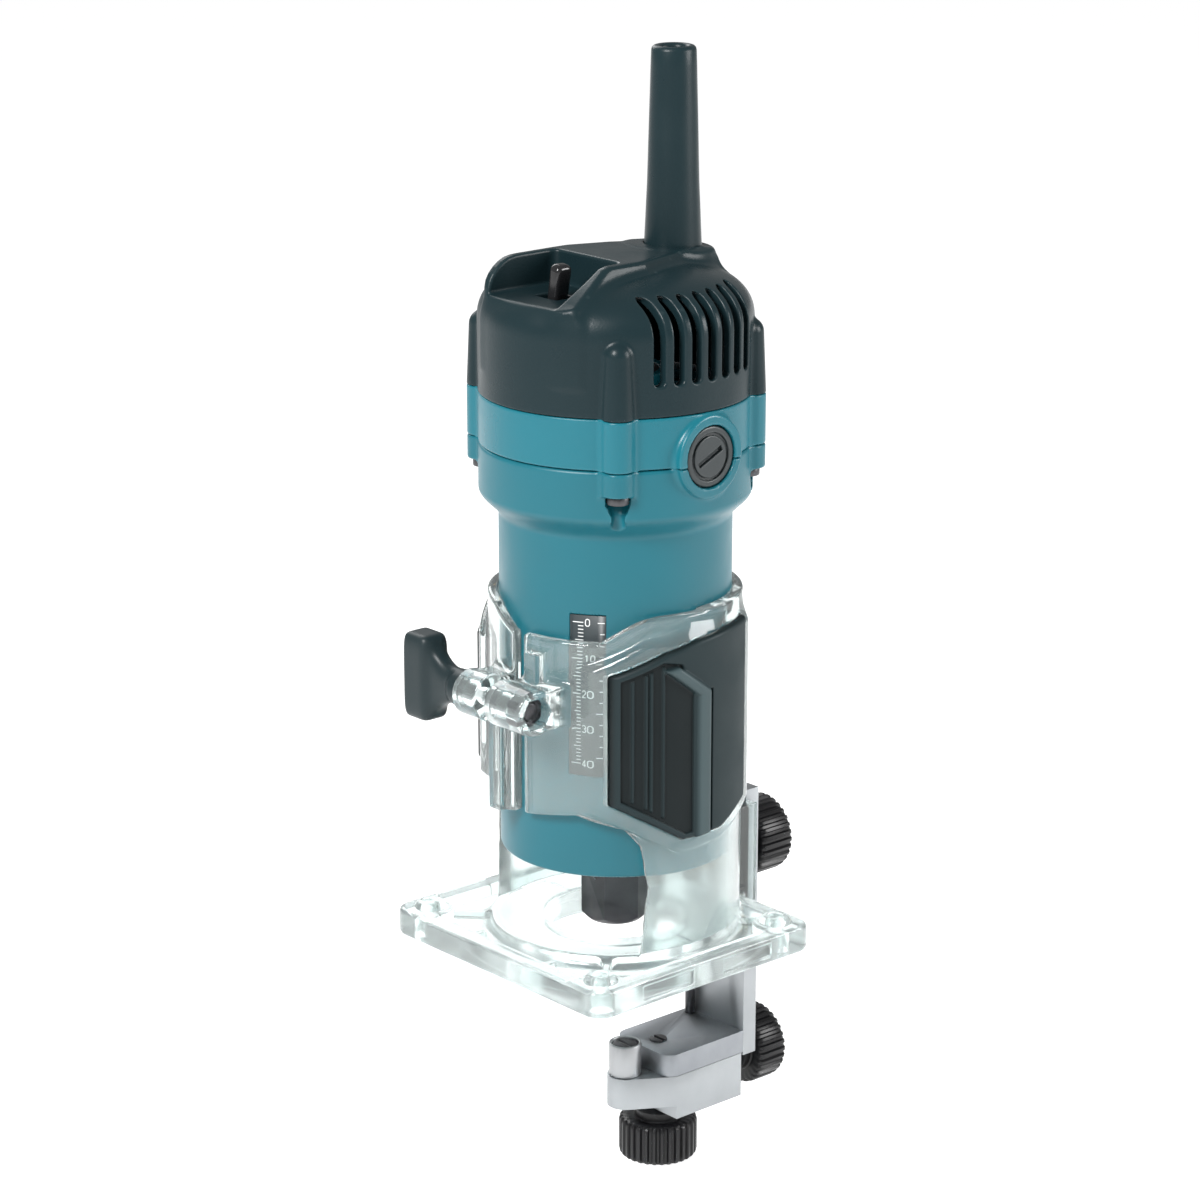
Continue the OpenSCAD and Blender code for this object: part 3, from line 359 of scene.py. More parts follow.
def finish_of(name, colour, rough, metal=0.0, grain=3000, bump=0.2, marks=60, spread=0.08, tone=0.06,
              worn=None, rub=0.5, coat=0.0, glass=0.0, ior=1.5, gloss=0.5):
    """A material: its colour is mixed by handling marks and rubbed edges, from tone below to tone above, its
    roughness goes from spread below to spread above with the marks, and the grain is a bump."""
    m = bpy.data.materials.new(name)
    m.use_nodes = True
    tree, link = m.node_tree, m.node_tree.links.new
    b = tree.nodes["Principled BSDF"]
    for label, value in (("Metallic", metal), ("IOR", ior), ("Coat Weight", coat), ("Coat Roughness", 0.12),
                         ("Transmission Weight", glass), ("Specular IOR Level", gloss)):
        b.inputs[label].default_value = value
    g = tree.nodes.new("ShaderNodeGroup")
    g.node_tree = GRAIN
    g.inputs["Grain Scale"].default_value, g.inputs["Mark Scale"].default_value = grain, marks
    smoothest = 0.02
    ramp = value_node(tree, "ShaderNodeMapRange", From_Min=0.3, From_Max=0.7,
                      To_Min=max(smoothest, rough - spread), To_Max=rough + spread)
    link(g.outputs["Marks"], ramp.inputs["Value"])
    link(ramp.outputs["Result"], b.inputs["Roughness"])
    shade = tree.nodes.new("ShaderNodeMix")
    shade.data_type = "RGBA"
    shade.inputs["A"].default_value = (*[c * (1 - tone) for c in colour], 1)
    shade.inputs["B"].default_value = (*[min(1, c * (1 + tone)) for c in colour], 1)
    link(g.outputs["Marks"], shade.inputs["Factor"])
    tint = shade.outputs["Result"]
    if worn:
        r = value_node(tree, "ShaderNodeGroup")
        r.node_tree = RUB
        r.inputs["Amount"].default_value = rub
        mix = tree.nodes.new("ShaderNodeMix")
        mix.data_type = "RGBA"
        mix.inputs["B"].default_value = (*worn, 1)
        link(r.outputs["Mask"], mix.inputs["Factor"])
        link(tint, mix.inputs["A"])
        tint = mix.outputs["Result"]
    link(tint, b.inputs["Base Color"])
    relief = value_node(tree, "ShaderNodeBump", Strength=bump, Distance=0.00005)
    link(g.outputs["Height"], relief.inputs["Height"])
    link(relief.outputs["Normal"], b.inputs["Normal"])
    return m


clear_plastic = finish_of("clear_plastic", (0.86, 0.945, 0.935), 0.08, bump=0.03, tone=0.02, glass=0.93,
                          coat=0.4, ior=1.36)
# the lower wall and the plate are a little frosted and the wall over the barrel is clear, by height in metres
glassy = clear_plastic.node_tree
roughness = glassy.nodes["Principled BSDF"].inputs["Roughness"]
glassy.nodes.remove(roughness.links[0].from_node)
frost = value_node(glassy, "ShaderNodeMapRange", From_Min=0.034, From_Max=0.05, To_Min=0.2, To_Max=0.06)
where = glassy.nodes.new("ShaderNodeTexCoord")
split = glassy.nodes.new("ShaderNodeSeparateXYZ")
glassy.links.new(where.outputs["Object"], split.inputs[0])
glassy.links.new(split.outputs["Z"], frost.inputs["Value"])
glassy.links.new(frost.outputs["Result"], roughness)
moulded("clear_base_skin", base_form, (-45, -50, 0), (45, 42, 105.5), 0.62, clear_plastic,
        "clear_plastic", "clear_base")

# ---- Rubber grips -----------------------------------------------------------------------
# A soft pad lies in a pocket on each side of the collar, moulded rubber glued to the clear wall.
# Its left panel is sunk and ribbed, and a raised arrow points up along its middle.


def grip_form(x, y, z):
    """The pad between two cylinders inside its outline, less the sunk panel, with the panel's ribs and the
    raised arrow joined on, less the seam beside the arrow."""
    x, r = np.abs(x), around(x, y)
    pad = common(np.maximum(outline(y, z, GRIP), 5 - x), common(r - 39.38, 36.28 - r, 0.5), 1.3)
    panel = outline(y, z, [(-24.8, 54.5), (-24.8, 88.8), (-14.6, 93.6), (-9.5, 92.5), (-5.6, 85.5),
                           (-5.6, 43.8), (-8, 43.6)])
    pad = cut(pad, np.maximum(panel, 38.55 - r), 0.5)
    lines = np.maximum(np.abs(np.abs(np.abs(y + 18.2) - 2.2) - 1.6) - 0.35, panel + 1.2)
    pad = join(pad, common(np.maximum(lines, between(r, 37.6, 39.15)), 5 - x, 0.2), 0.5)
    ridge = outline(y, z, [(-14.4, 91.3), (-10.6, 92.1), (-0.4, 84.2), (-0.4, 42.7), (-4.6, 42.3),
                           (-4.6, 83.2)])
    pad = join(pad, common(np.maximum(ridge, 5 - x), between(r, 37.5, 40.9), 1.6), 0.9)
    seam = np.maximum(np.maximum(np.abs(y - 0.4) - 0.35, between(z, 41, 84.2)), 38.8 - r)
    return cut(pad, seam, 0.2)


grip_rubber = finish_of("grip_rubber", (0.014, 0.025, 0.028), 0.46, grain=2600, bump=0.5, spread=0.1,
                        gloss=0.17)
# painted shade and highlight: the sunk panel is coloured darker, as shade falls in it, and the ridge lighter,
# as light falls on its top, by each point's height over the pad
tree = grip_rubber.node_tree
raised = tree.nodes.new("ShaderNodeAttribute")
raised.attribute_name = "raised"
# a ramp of painted shade and highlight, from the shaded sunk panel to the lit top of the ridge
painted_shade_ramp = tree.nodes.new("ShaderNodeValToRGB")
for place, tone in ((0.0, 0.3), (0.45, 1.0)):
    painted_shade_ramp.color_ramp.elements.new(place).color = (tone * 0.016, tone * 0.028, tone * 0.031, 1)
painted_shade_ramp.color_ramp.elements[-1].color = (0.055, 0.08, 0.085, 1)
painted_shade_ramp.color_ramp.elements[0].color = (0.005, 0.0085, 0.0095, 1)
tree.links.new(raised.outputs["Fac"], painted_shade_ramp.inputs["Fac"])
tree.links.new(painted_shade_ramp.outputs["Color"], tree.nodes["Principled BSDF"].inputs["Base Color"])
for side, low, high in (("right", 5, 41.2), ("left", -41.2, -5)):
    pad = moulded(f"grip_pad_{side}_skin", grip_form, (low, -27, 41), (high, 17.2, 101), 0.4, grip_rubber,
                  "grip_rubber", f"grip_pad_{side}")
    p = np.empty(len(pad.data.vertices) * 3, np.float32)
    pad.data.vertices.foreach_get("co", p)
    p = p.reshape(-1, 3) / MM
    # each point's height over the sunk panel, the mask of the painted shade and highlight
    panel_radius, ridge_height = 38.5, 2.2
    level = np.clip((around(p[:, 0], p[:, 1]) - panel_radius) / ridge_height, 0, 1)
    pad.data.attributes.new("raised", "FLOAT", "POINT").data.foreach_set("value", level.astype(np.float32))

# ---- Clamp screw and wing ----------------------------------------------------------------
# A zinc screw and nut pull the ears together. Its black wing is an injection moulding with a
# flat T bar that thins along a waist into a round stem, pressed on the screw.


def wing_mesh(x0, x1, along, turns):
    """Superellipse sections along X. The half-widths and the squareness pass smoothly from the stem to the
    bar, and both ends are drawn in along a quarter ellipse."""
    t = np.linspace(0, 1, along)
    x = x0 + (x1 - x0) * (0.5 - 0.5 * np.cos(np.pi * t))
    bar = 1 / (1 + np.exp((x + 26.2) * 1.9))
    waist = np.clip((x + 26) / 9, 0, 1)
    half_z = (5.2 + 5.6 * (1 - waist) ** 2.2) * (1 - bar) + 12.4 * bar
    half_y = (3.3 + 1.9 * np.clip((x + 19) / 3.5, 0, 1) ** 1.5) * (1 - bar) + 4.8 * bar
    square = 2 + 4.5 * bar + 1.2 * (1 - bar) * (1 - waist)
    shut = np.sqrt(np.clip(1 - np.clip(1 - (x - x0) / 1.8, 0, 1) ** 2, 0, 1))
    shut *= np.sqrt(np.clip(1 - np.clip(1 - (x1 - x) / 0.5, 0, 1) ** 2 * 0.4, 0, 1))
    a = np.linspace(0, 2 * np.pi, turns, endpoint=False)
    c, s = np.cos(a)[None], np.sin(a)[None]
    lap = (np.abs(c) ** square[:, None] + np.abs(s) ** square[:, None]) ** (-1 / square[:, None])
    inset = 1.8 * (1 - shut)
    y = (half_y - inset)[:, None] * lap * c
    z = (half_z - inset)[:, None] * lap * s
    return np.stack([np.broadcast_to(x[:, None], y.shape), y, z], 2)


def skin(name, rings, material, slot, node, place=Matrix(), sharp=40):
    """A closed surface through rings of points, each end shut by a fan to its middle."""
    n, m = rings.shape[:2]
    p = np.concatenate([rings.reshape(-1, 3), rings[:1].mean(1), rings[-1:].mean(1)])
    i, j = np.meshgrid(np.arange(n - 1), np.arange(m), indexing="ij")
    k = (j + 1) % m
    quads = np.stack([i * m + j, (i + 1) * m + j, (i + 1) * m + k, i * m + k], 2).reshape(-1, 4).tolist()
    j = np.arange(m)
    k = (j + 1) % m
    first = np.stack([np.full(m, n * m), j, k], 1).tolist()
    last = np.stack([np.full(m, n * m + 1), (n - 1) * m + k, (n - 1) * m + j], 1).tolist()
    mesh = bpy.data.meshes.new(name)
    mesh.from_pydata((p * MM).tolist(), [], quads + first + last)
    mesh.transform(place)
    b = bmesh.new()
    b.from_mesh(mesh)
    bmesh.ops.recalc_face_normals(b, faces=b.faces)
    b.to_mesh(mesh)
    b.free()
    mesh.shade_smooth()
    mesh.set_sharp_from_angle(angle=math.radians(sharp))
    return placed(name, mesh, material, slot, node)


def at(x, y, z):
    """The place of a piece in millimetres."""
    return Matrix.Translation(Vector((x, y, z)) * MM)


satin_black = finish_of("satin_black", (0.014, 0.024, 0.027), 0.38, worn=(0.07, 0.085, 0.09), grain=2000,
                        bump=0.4, gloss=0.25)
skin("wing_grip_skin", wing_mesh(-36, -12.3, 90, 96), satin_black, "wing_plastic", "wing_grip",
     at(0, CLAMP_Y, CLAMP_Z))
zinc = finish_of("zinc_steel", (0.55, 0.56, 0.58), 0.28, metal=1.0, marks=300)


def softened(node, width, material, slot, segments=2, angle=32):
    """A copy of a CAD node with its flat faces joined and its edges rounded to a width in millimetres."""
    mesh = frame["nodes"][node].data.copy()
    mesh.materials.clear()
    b = bmesh.new()
    b.from_mesh(mesh)
    same_point, same_plane = 2e-6, math.radians(0.4)
    bmesh.ops.remove_doubles(b, verts=b.verts, dist=same_point)
    bmesh.ops.dissolve_limit(b, angle_limit=same_plane, verts=b.verts, edges=b.edges)
    b.to_mesh(mesh)
    b.free()
    mesh.shade_smooth()
    thing = placed(f"{node}_skin", mesh, material, slot, node)
    rounding = thing.modifiers.new("rounding", "BEVEL")
    rounding.width, rounding.segments = width * MM, segments
    rounding.limit_method, rounding.angle_limit = "ANGLE", math.radians(angle)
    rounding.harden_normals = True
    return thing


dark_steel = finish_of("dark_steel", (0.05, 0.05, 0.055), 0.35, metal=0.8, worn=(0.3, 0.3, 0.3), rub=0.3)
softened("wing_stud", 0.3, dark_steel, "dark_steel")
softened("clamp_nut", 0.25, dark_steel, "dark_steel")

# ---- Bracket screw and knob ----------------------------------------------------------------
# A screw from a brass nut in the base's boss holds the bracket, under a knurled black knob.
# The knob is moulded phenolic: fine ribs round its side, run out into the rounded rims.


def knob_rings(length, radius=11.5, neck=3.0, ribs=30):
    """A turned outline round Z from the blind bore to the dished top, its side waved by the ribs."""
    top = neck + length
    path = [(0.02, top - 3), (2.55, top - 3), (2.55, 0.0), (6.3, 0.0), (6.9, 0.4), (7, neck - 0.4),
            (7.4, neck), (radius - 1.6, neck), (radius - 0.7, neck + 0.25), (radius - 0.2, neck + 0.8),
            (radius, neck + 1.5), (radius, top - 1.5), (radius - 0.2, top - 0.8), (radius - 0.7, top - 0.25),
            (radius - 1.6, top), (radius - 2.6, top), (radius - 3.1, top - 0.35), (0.02, top - 0.35)]
    r, z = np.array(path).T
    a = np.linspace(0, 2 * np.pi, ribs * 12, endpoint=False)
    wave = np.clip(0.55 - 1.2 * np.cos(a * ribs), 0, 1) * 0.75
    outer = np.clip((r - (radius - 1.7)) / 1.5, 0, 1)
    R = r[:, None] - outer[:, None] * wave[None]
    return np.stack([R * np.cos(a), R * np.sin(a), np.broadcast_to(z[:, None], R.shape)], 2)


knob_black = finish_of("knob_black", (0.006, 0.006, 0.007), 0.32, worn=(0.05, 0.05, 0.052), grain=2400,
                       bump=0.3, gloss=0.35)
rearward, upside_down = Matrix.Rotation(-math.pi / 2, 4, "X"), Matrix.Rotation(math.pi, 4, "X")
KNOB_Y, KNOB_SHARP = 45.3, 34
skin("bracket_knob_skin", knob_rings(12), knob_black, "knob_plastic", "bracket_knob",
     at(0, KNOB_Y, BRACKET_Z) @ rearward, KNOB_SHARP)
brass = finish_of("brass", (0.62, 0.44, 0.18), 0.3, metal=1.0)
softened("bracket_nut", 0.25, brass, "brass")
softened("bracket_stud", 0.25, zinc, "zinc_steel")

# ---- Guide ---------------------------------------------------------------------------------
# Slotted bracket, foot and carriage are die-cast aluminium with small rounded edges, fixed by two screws.
# A turned steel roller runs on a slotted screw, and two knurled knobs move and lock the carriage.
cast = finish_of("cast_aluminium", (0.36, 0.38, 0.395), 0.47, metal=1.0, grain=1500, bump=0.5,
                 worn=(0.6, 0.62, 0.63))
cast_grey = finish_of("grey_aluminium", (0.27, 0.285, 0.305), 0.5, metal=1.0, grain=1500, bump=0.5,
                      worn=(0.6, 0.62, 0.64))
softened("guide_bracket", 0.45, cast, "bright_aluminium")
softened("guide_carriage", 0.5, cast, "bright_aluminium")
softened("guide_foot", 0.6, cast_grey, "grey_aluminium")
roller_steel = finish_of("roller_steel", (0.38, 0.39, 0.4), 0.4, metal=1.0, marks=300)
softened("guide_roller", 0.3, roller_steel, "bearing_steel")
for name in ("roller_screw", "lock_screw", "guide_pin"):
    softened(name, 0.2, dark_steel, "dark_steel")
softened("foot_screws", 0.3, zinc, "zinc_steel")
softened("adjust_screw", 0.25, zinc, "zinc_steel")
skin("adjust_knob_skin", knob_rings(10.5), knob_black, "knob_plastic", "adjust_knob",
     at(0, KNOB_Y, -48.2) @ rearward, KNOB_SHARP)
skin("lock_knob_skin", knob_rings(12), knob_black, "knob_plastic", "lock_knob",
     at(0, 17.05, -57.8) @ upside_down, KNOB_SHARP)

# ---- Barrel housing --------------------------------------------------------------------------
# The motor's teal barrel and lower head are one injection moulding that flares out to the head.
# Four ears with screw pockets under them and two round brush bosses grow out of its side.
# radius of the head, its parting line and the brushes' height, used by the ring and the caps too
HEAD_R, PARTING, BRUSH_Z = 38, 147.22, 149.2
EAR_R, SCREW_R = 4.6, 1.85


def posts(x, y):
    """Distance in plan from the nearest of the four assembly screws."""
    return around(np.abs(x) - 28.02, np.abs(y) - 24.01)


def brush_boss(x, y, z):
    """The round bosses of the brush caps: a cylinder along X, its face near the ends of the box."""
    return common(around(y, z - BRUSH_Z) - 11.35, between(np.abs(x), 33, 38.9), 0.7)


def brush_seat(x, y, z):
    """The through hole and the sunk seat of the brush caps."""
    wide, ring = np.abs(x), around(y, z - BRUSH_Z)
    return np.minimum(np.maximum(ring - 7.65, 25.5 - wide), np.maximum(ring - 8.75, 36.6 - wide))


# the depth scale's middle, in degrees round from the front to the right
SCALE_ANGLE = 35


def housing_form(x, y, z):
    """The barrel's cylinder, wider up to the head by a step eased as t squared times 3 less 2 t, with ears
    and bosses joined on, less the hollow, the shaft's bore, the vents, the pockets and the scale's recess."""
    r, wide, post = around(x, y), np.abs(x), posts(x, y)
    foot, foot_inside, barrel_r = 29.9, 32.9, 32.5
    flare = np.clip((z - 126.6) / 7.6, 0, 1)
    flare = flare * flare * (3 - 2 * flare)
    # where the wall slants, the field changes too fast and is scaled down
    steep = (flare > 0) & (flare < 1)
    outside = (r - barrel_r - 5.5 * flare) * (1 - 0.25 * steep)
    shell = common(outside, between(z, foot, PARTING), 1.2)
    # the rim's outer edge at the parting line is eased
    shell = cut(shell, np.maximum(147.3 - z, 37.6 - r), 0.3)
    ears = common(post - EAR_R, between(z, 140.6, PARTING), 0.6)
    shell = join(shell, ears, 1.5)
    shell = join(shell, np.maximum(brush_boss(x, y, z), z - PARTING), 1.4)
    # hollow for the motor, its wall kept round the screws
    hollow = np.clip((z - 128) / 8, 0, 1)
    inner = r - 29.5 - 5.7 * hollow * hollow * (3 - 2 * hollow)
    columns = np.maximum(post - 5.2, between(z, 127.5, 150))
    shell = cut(shell, np.maximum(np.maximum(inner, foot_inside - z), -columns), 0.5)
    # bearing's tube inside the foot, bore for the shaft and eight vents round it
    shell = np.minimum(shell, np.maximum(np.maximum(r - 17, 14.05 - r), between(z, 31, 41.9)))
    eighth = np.pi / 4
    turn = np.arctan2(y, x)
    turn = turn - np.round(turn / eighth) * eighth
    vent = np.maximum(np.maximum(between(r * np.cos(turn), 18.5, 27), np.abs(r * np.sin(turn)) - 3), z - 33.9)
    shell = cut(cut(shell, np.maximum(r - 11.5, z - 33.4), 0.4), vent, 0.4)
    # pockets for the screw heads, run out to a point, and the screws' holes
    pocket = post - 3.25 + np.clip(138 - z, 0, 12) * 0.42
    shell = cut(shell, np.maximum(pocket, between(z, 120, 140.55)), 0.3)
    shell = cut(shell, post - SCREW_R, 0.2)
    shell = cut(shell, brush_seat(x, y, z), 0.3)
    # recess for the depth scale, its sides in millimetres round the barrel
    per_degree = 0.5672
    arc = (np.degrees(np.arctan2(x, -y)) - SCALE_ANGLE) * per_degree
    return cut(shell, np.maximum(np.maximum(np.abs(arc) - 5.1, between(z, 59.9, 105.6)), 31.9 - r), 0.1)


teal = finish_of("teal_plastic", (0.005, 0.115, 0.15), 0.34, grain=2200, bump=0.35, marks=45,
                 worn=(0.05, 0.24, 0.3), rub=0.3, gloss=0.4)
moulded("barrel_housing_skin", housing_form, (-39, -39, 29.9), (39, 39, 147.4), 0.62, teal,
        "teal_plastic", "barrel_housing")

# ---- Depth scale -------------------------------------------------------------------------------
# A dark strip let into the barrel, printed with white millimetre marks and numbers and inch marks.
# The strip is bent to the barrel, and the print is thin raised ink on it.


def strokes(bars, radius, thick):
    """Bars bent round the barrel: each is its two ends (arc, z) and its half-width, given as a thin box whose
    corners lie at the angle arc / radius on the strip and under it."""
    sides = ((3, 2, 1, 0), (4, 5, 6, 7), (0, 1, 5, 4), (1, 2, 6, 5), (2, 3, 7, 6), (3, 0, 4, 7))
    p, faces = [], []
    for (u0, v0), (u1, v1), half in bars:
        d = np.array([u1 - u0, v1 - v0]) / max(math.hypot(u1 - u0, v1 - v0), 1e-6)
        side = np.array([-d[1], d[0]]) * half
        k = len(p)
        for R in (radius - thick, radius):
            for e, s in (((u0, v0), 1), ((u0, v0), -1), ((u1, v1), -1), ((u1, v1), 1)):
                u, v = np.array(e) + side * s
                p.append((R * math.sin(u / radius), -R * math.cos(u / radius), v))
        faces += [[k + i for i in corners] for corners in sides]
    mesh = bpy.data.meshes.new("marks")
    mesh.from_pydata([tuple(c * MM for c in q) for q in p], [], faces)
    b = bmesh.new()
    b.from_mesh(mesh)
    bmesh.ops.recalc_face_normals(b, faces=b.faces)
    b.to_mesh(mesh)
    b.free()
    return mesh


# digits as the corners of a line drawn in a box 1 wide and 1.7 high
DIGITS = {"0": [(0, .3), (0, 1.4), (.3, 1.7), (.7, 1.7), (1, 1.4), (1, .3), (.7, 0), (.3, 0), (0, .3)],
          "1": [(.2, 1.35), (.55, 1.7), (.55, 0)],
          "2": [(0, 1.35), (.3, 1.7), (.75, 1.7), (1, 1.35), (1, 1.05), (0, 0), (1, 0)],
          "3": [(0, 1.5), (.3, 1.7), (.7, 1.7), (1, 1.4), (1, 1.1), (.6, .9), (1, .65), (1, .3), (.7, 0),
                (.3, 0), (0, .25)],
          "4": [(.75, 0), (.75, 1.7), (0, .5), (1, .5)]}
scale_ink = finish_of("scale_ink", (0.72, 0.74, 0.73), 0.5, bump=0.1)
scale_black = finish_of("scale_black", (0.018, 0.028, 0.032), 0.4, grain=2600, bump=0.2)
softened("scale_plate", 0.04, scale_black, "scale_label", segments=1)
middle = math.radians(SCALE_ANGLE) * 32.42
zero_mark, last_mm, line, digit_size = 103.5, 40, 0.13, 1.15
bars = []
for mm in range(last_mm + 1):
    v = zero_mark - mm
    long = 3.0 if mm % 10 == 0 else 2.3 if mm % 5 == 0 else 1.5
    bars.append(((middle - 1.2 - long, v), (middle - 1.2, v), line))
    if mm % 10 == 0:
        for place, digit in enumerate(str(mm)):
            corners = DIGITS[digit]
            left, foot = middle - 1.0 + place * 1.65 + 0.4, v - 1
            for (a, b), (c, d) in zip(corners, corners[1:]):
                bars.append(((left + a * digit_size, foot + b * digit_size),
                             (left + c * digit_size, foot + d * digit_size), line))
eighth_inch, edge = 3.175, middle + 4.7
for n in range(13):
    v = zero_mark - n * eighth_inch
    bars.append(((edge - (1.9 if n % 4 == 0 else 1.2), v), (edge, v), line))
placed("scale_marks", strokes(bars, 32.44, 0.06), scale_ink, "scale_label", "scale_plate")

# ---- Housing ring ------------------------------------------------------------------------------
# A second teal moulding closes the head above the parting line and holds the upper bearing.
# The four ears and the upper halves of the brush bosses run on through it.


def ring_form(x, y, z):
    """A band with a web across it, which is opened by six holes and the bearing's seat, the ears and bosses
    joined on, less the screw holes and the caps' seats."""
    r, post = around(x, y), posts(x, y)
    low, high = 147.45, 161.4
    ring = np.maximum(common(r - HEAD_R, between(z, low, high), 0.5), 35.2 - r)
    web = np.maximum(r - 35.4, between(z, 158.9, 161.3))
    web = np.minimum(web, np.maximum(r - 14.5, between(z, 158.9, 167.4)))
    sixth = np.pi / 3
    turn = np.arctan2(y, x)
    turn = turn - np.floor(turn / sixth) * sixth - np.pi / 6
    hole = around(r * np.cos(turn) - 24, r * np.sin(turn)) - 6.5
    web = np.maximum(web, -np.minimum(np.minimum(hole, r - 7), np.maximum(r - 12.05, 159.9 - z)))
    ring = np.minimum(ring, web)
    ring = join(ring, common(post - EAR_R, between(z, low, high), 0.5), 1.5)
    ring = join(ring, common(brush_boss(x, y, z), between(z, low, high), 0.4), 1.4)
    return cut(cut(ring, post - SCREW_R, 0.2), brush_seat(x, y, z), 0.3)


teal_ring = finish_of("teal_ring", (0.006, 0.128, 0.167), 0.3, grain=2200, bump=0.35, marks=45,
                      worn=(0.06, 0.27, 0.33), rub=0.3, gloss=0.4)
moulded("housing_ring_skin", ring_form, (-39, -39, 147.3), (39, 39, 168.5), 0.5, teal_ring,
        "teal_plastic", "housing_ring")

# ---- Brush caps ----------------------------------------------------------------------------------
# Two slotted caps of black moulded plastic screw into the bosses over the carbon brushes.
# A ring groove runs round each slot, and the rim is rounded.


def cap_form(x, y, z):
    """A disc with rounded rim on a plug, less its ring groove and its slot, which is turned by 25 degrees."""
    wide, v = np.abs(x), z - BRUSH_Z
    ring = around(y, v)
    cap = common(ring - 8.45, between(wide, 36.7, 38.45), 0.8)
    cap = np.minimum(cap, np.maximum(ring - 6, between(wide, 29.7, 37)))
    cap = cut(cap, np.maximum(np.abs(ring - 6.2) - 0.45, 37.7 - wide), 0.25)
    a = math.radians(25) * np.sign(x)
    u, w = y * np.cos(a) + v * np.sin(a), v * np.cos(a) - y * np.sin(a)
    return cut(cap, np.maximum(np.maximum(np.abs(u) - 4.5, np.abs(w) - 0.75), 37.4 - wide), 0.25)


cap_black = finish_of("cap_plastic", (0.016, 0.023, 0.025), 0.34, worn=(0.1, 0.11, 0.11), grain=2400,
                      bump=0.3)
moulded("brush_caps_skin", cap_form, (-38.6, -8.7, 140.5), (38.6, 8.7, 157.9), 0.3, cap_black,
        "cover_plastic", "brush_caps")
dark_screw = finish_of("dark_screw", (0.06, 0.06, 0.065), 0.35, metal=0.9, worn=(0.35, 0.35, 0.35), rub=0.4)
softened("housing_screws", 0.4, dark_screw, "dark_steel")

# ---- Top cover -------------------------------------------------------------------------------------
# The charcoal cover is one moulding: a dome with seven air slots a side, a walled recess for the switch,
# and a spine that runs back from it to a soft collar round the cord guard.
# the cord guard's axis and the switch lever's pin, from the spindle's axis
GUARD_Y, SWITCH_Y = 21, -22


def cover_form(x, y, z):
    """The dome (a superellipse of revolution, its distance estimated as value over slope), with the walls of
    the recess, the spine, the guard's collar and the ears joined on, less the hollow and all openings."""
    wide, r, post, guard = np.abs(x), around(x, y), posts(x, y), around(x, y - GUARD_Y)
    foot, shoulder, rise, power, wall = 161.6, 181, 16.2, 2.6, 2.8
    up = np.maximum(z - shoulder, 0) / rise
    k = (r / HEAD_R + 1e-4) ** power + up ** power
    lap = k ** (1 / power)
    slope = around((r / HEAD_R + 1e-4) ** 1.6 / HEAD_R, up ** 1.6 / rise) * k ** (1 / power - 1)
    dome = (lap - 1) / np.maximum(slope, 1 / 60)
    shell = common(dome, foot - z, 0.4)
    # walls of the recess and the spine behind it, as (y, z): an arch on the left, a cheek on the right
    rear = [(-9, 200), (8, 199.6), (24, 198.4), (29.5, 195), (33, 188), (33, 170), (-34, 170)]
    arch = [(-22 - 12 * math.cos(t), 189.6 + 10.4 * math.sin(t)) for t in np.linspace(0, math.pi / 2, 9)]
    cheek = [(-34, 189.8), (-30.5, 191.2), (-18.2, 199.2), (-16, 200), (-14, 200)]
    taper = np.clip(y + 4, 0, 30) * 0.3
    left = common(np.maximum(outline(y, z, arch + rear), x - 2), taper - 16.4 - x, 1.2)
    flank = (x - 16.3 + taper - np.clip(200 - z, 0, 14) * 0.33) * 0.95
    right = common(np.maximum(outline(y, z, cheek + rear), -2 - x), flank, 1.5)
    ridge = common(np.minimum(left, right), np.maximum(r - 37.4, z - 199.9), 1.2)
    shell = join(shell, ridge, 2.2)
    # collar round the guard, and ears that lean in and end in a ball
    shell = join(shell, common(guard - 11.4, z - 198, 1.2), 3.5)
    ears = around(post, np.maximum(z - 178.6, 0)) - EAR_R + np.clip(z - 161.5, 0, 20) * 0.045
    shell = join(shell, ears, 1.2)
    shell = np.maximum(shell, 161.55 - z)
    # hollow under the dome, clear of the recess and the guard's seat
    recess_floor = np.maximum(np.maximum(wide - 16.5, y + 7), 187.5 - z)
    keep = np.minimum(recess_floor, np.maximum(guard - 12.6, 187.5 - z))
    shell = cut(shell, np.maximum(dome + wall, -keep), 0.4)
    # switch recess, slot for the lever, bore and seat of the guard
    shell = cut(shell, common(common(wide - 13.5, y + 10, 3), 190.1 - z, 1.2), 0.9)
    shell = cut(shell, np.maximum(common(wide - 4.7, np.abs(y - SWITCH_Y) - 3.3, 1.2), 186 - z), 0.5)
    shell = cut(shell, np.maximum(guard - 8.15, 185 - z), 0.5)
    shell = cut(shell, np.maximum(guard - 10.65, between(z, 180, 192.5)), 0.2)
    # air slots with round ends, evenly spaced from the first at y = -15
    first, pitch, last = -15, 5.3333, 6
    v = y - first - pitch * np.clip(np.round((y - first) / pitch), 0, last)
    shell = cut(shell, np.maximum(around(v, np.maximum(np.abs(z - 181.3) - 9.9, 0)) - 1.5, 20 - wide), 0.7)
    return cut(shell, np.maximum(post - SCREW_R, z - 175), 0.2)


charcoal = finish_of("charcoal_plastic", (0.008, 0.02, 0.024), 0.32, grain=1700, bump=0.7, spread=0.09,
                     marks=50, worn=(0.04, 0.06, 0.065), gloss=0.2)
moulded("top_cover_skin", cover_form, (-38.2, -38.2, 161.5), (38.2, 38.2, 200), 0.42, charcoal,
        "cover_plastic", "top_cover")

# ---- Switch --------------------------------------------------------------------------------------------
# A toggle of glossy black plastic swings on a steel pin in the switch body, under the slot in the recess.
# The lever is a rounded bar that widens a little to its end, leaning 10 degrees at rest.


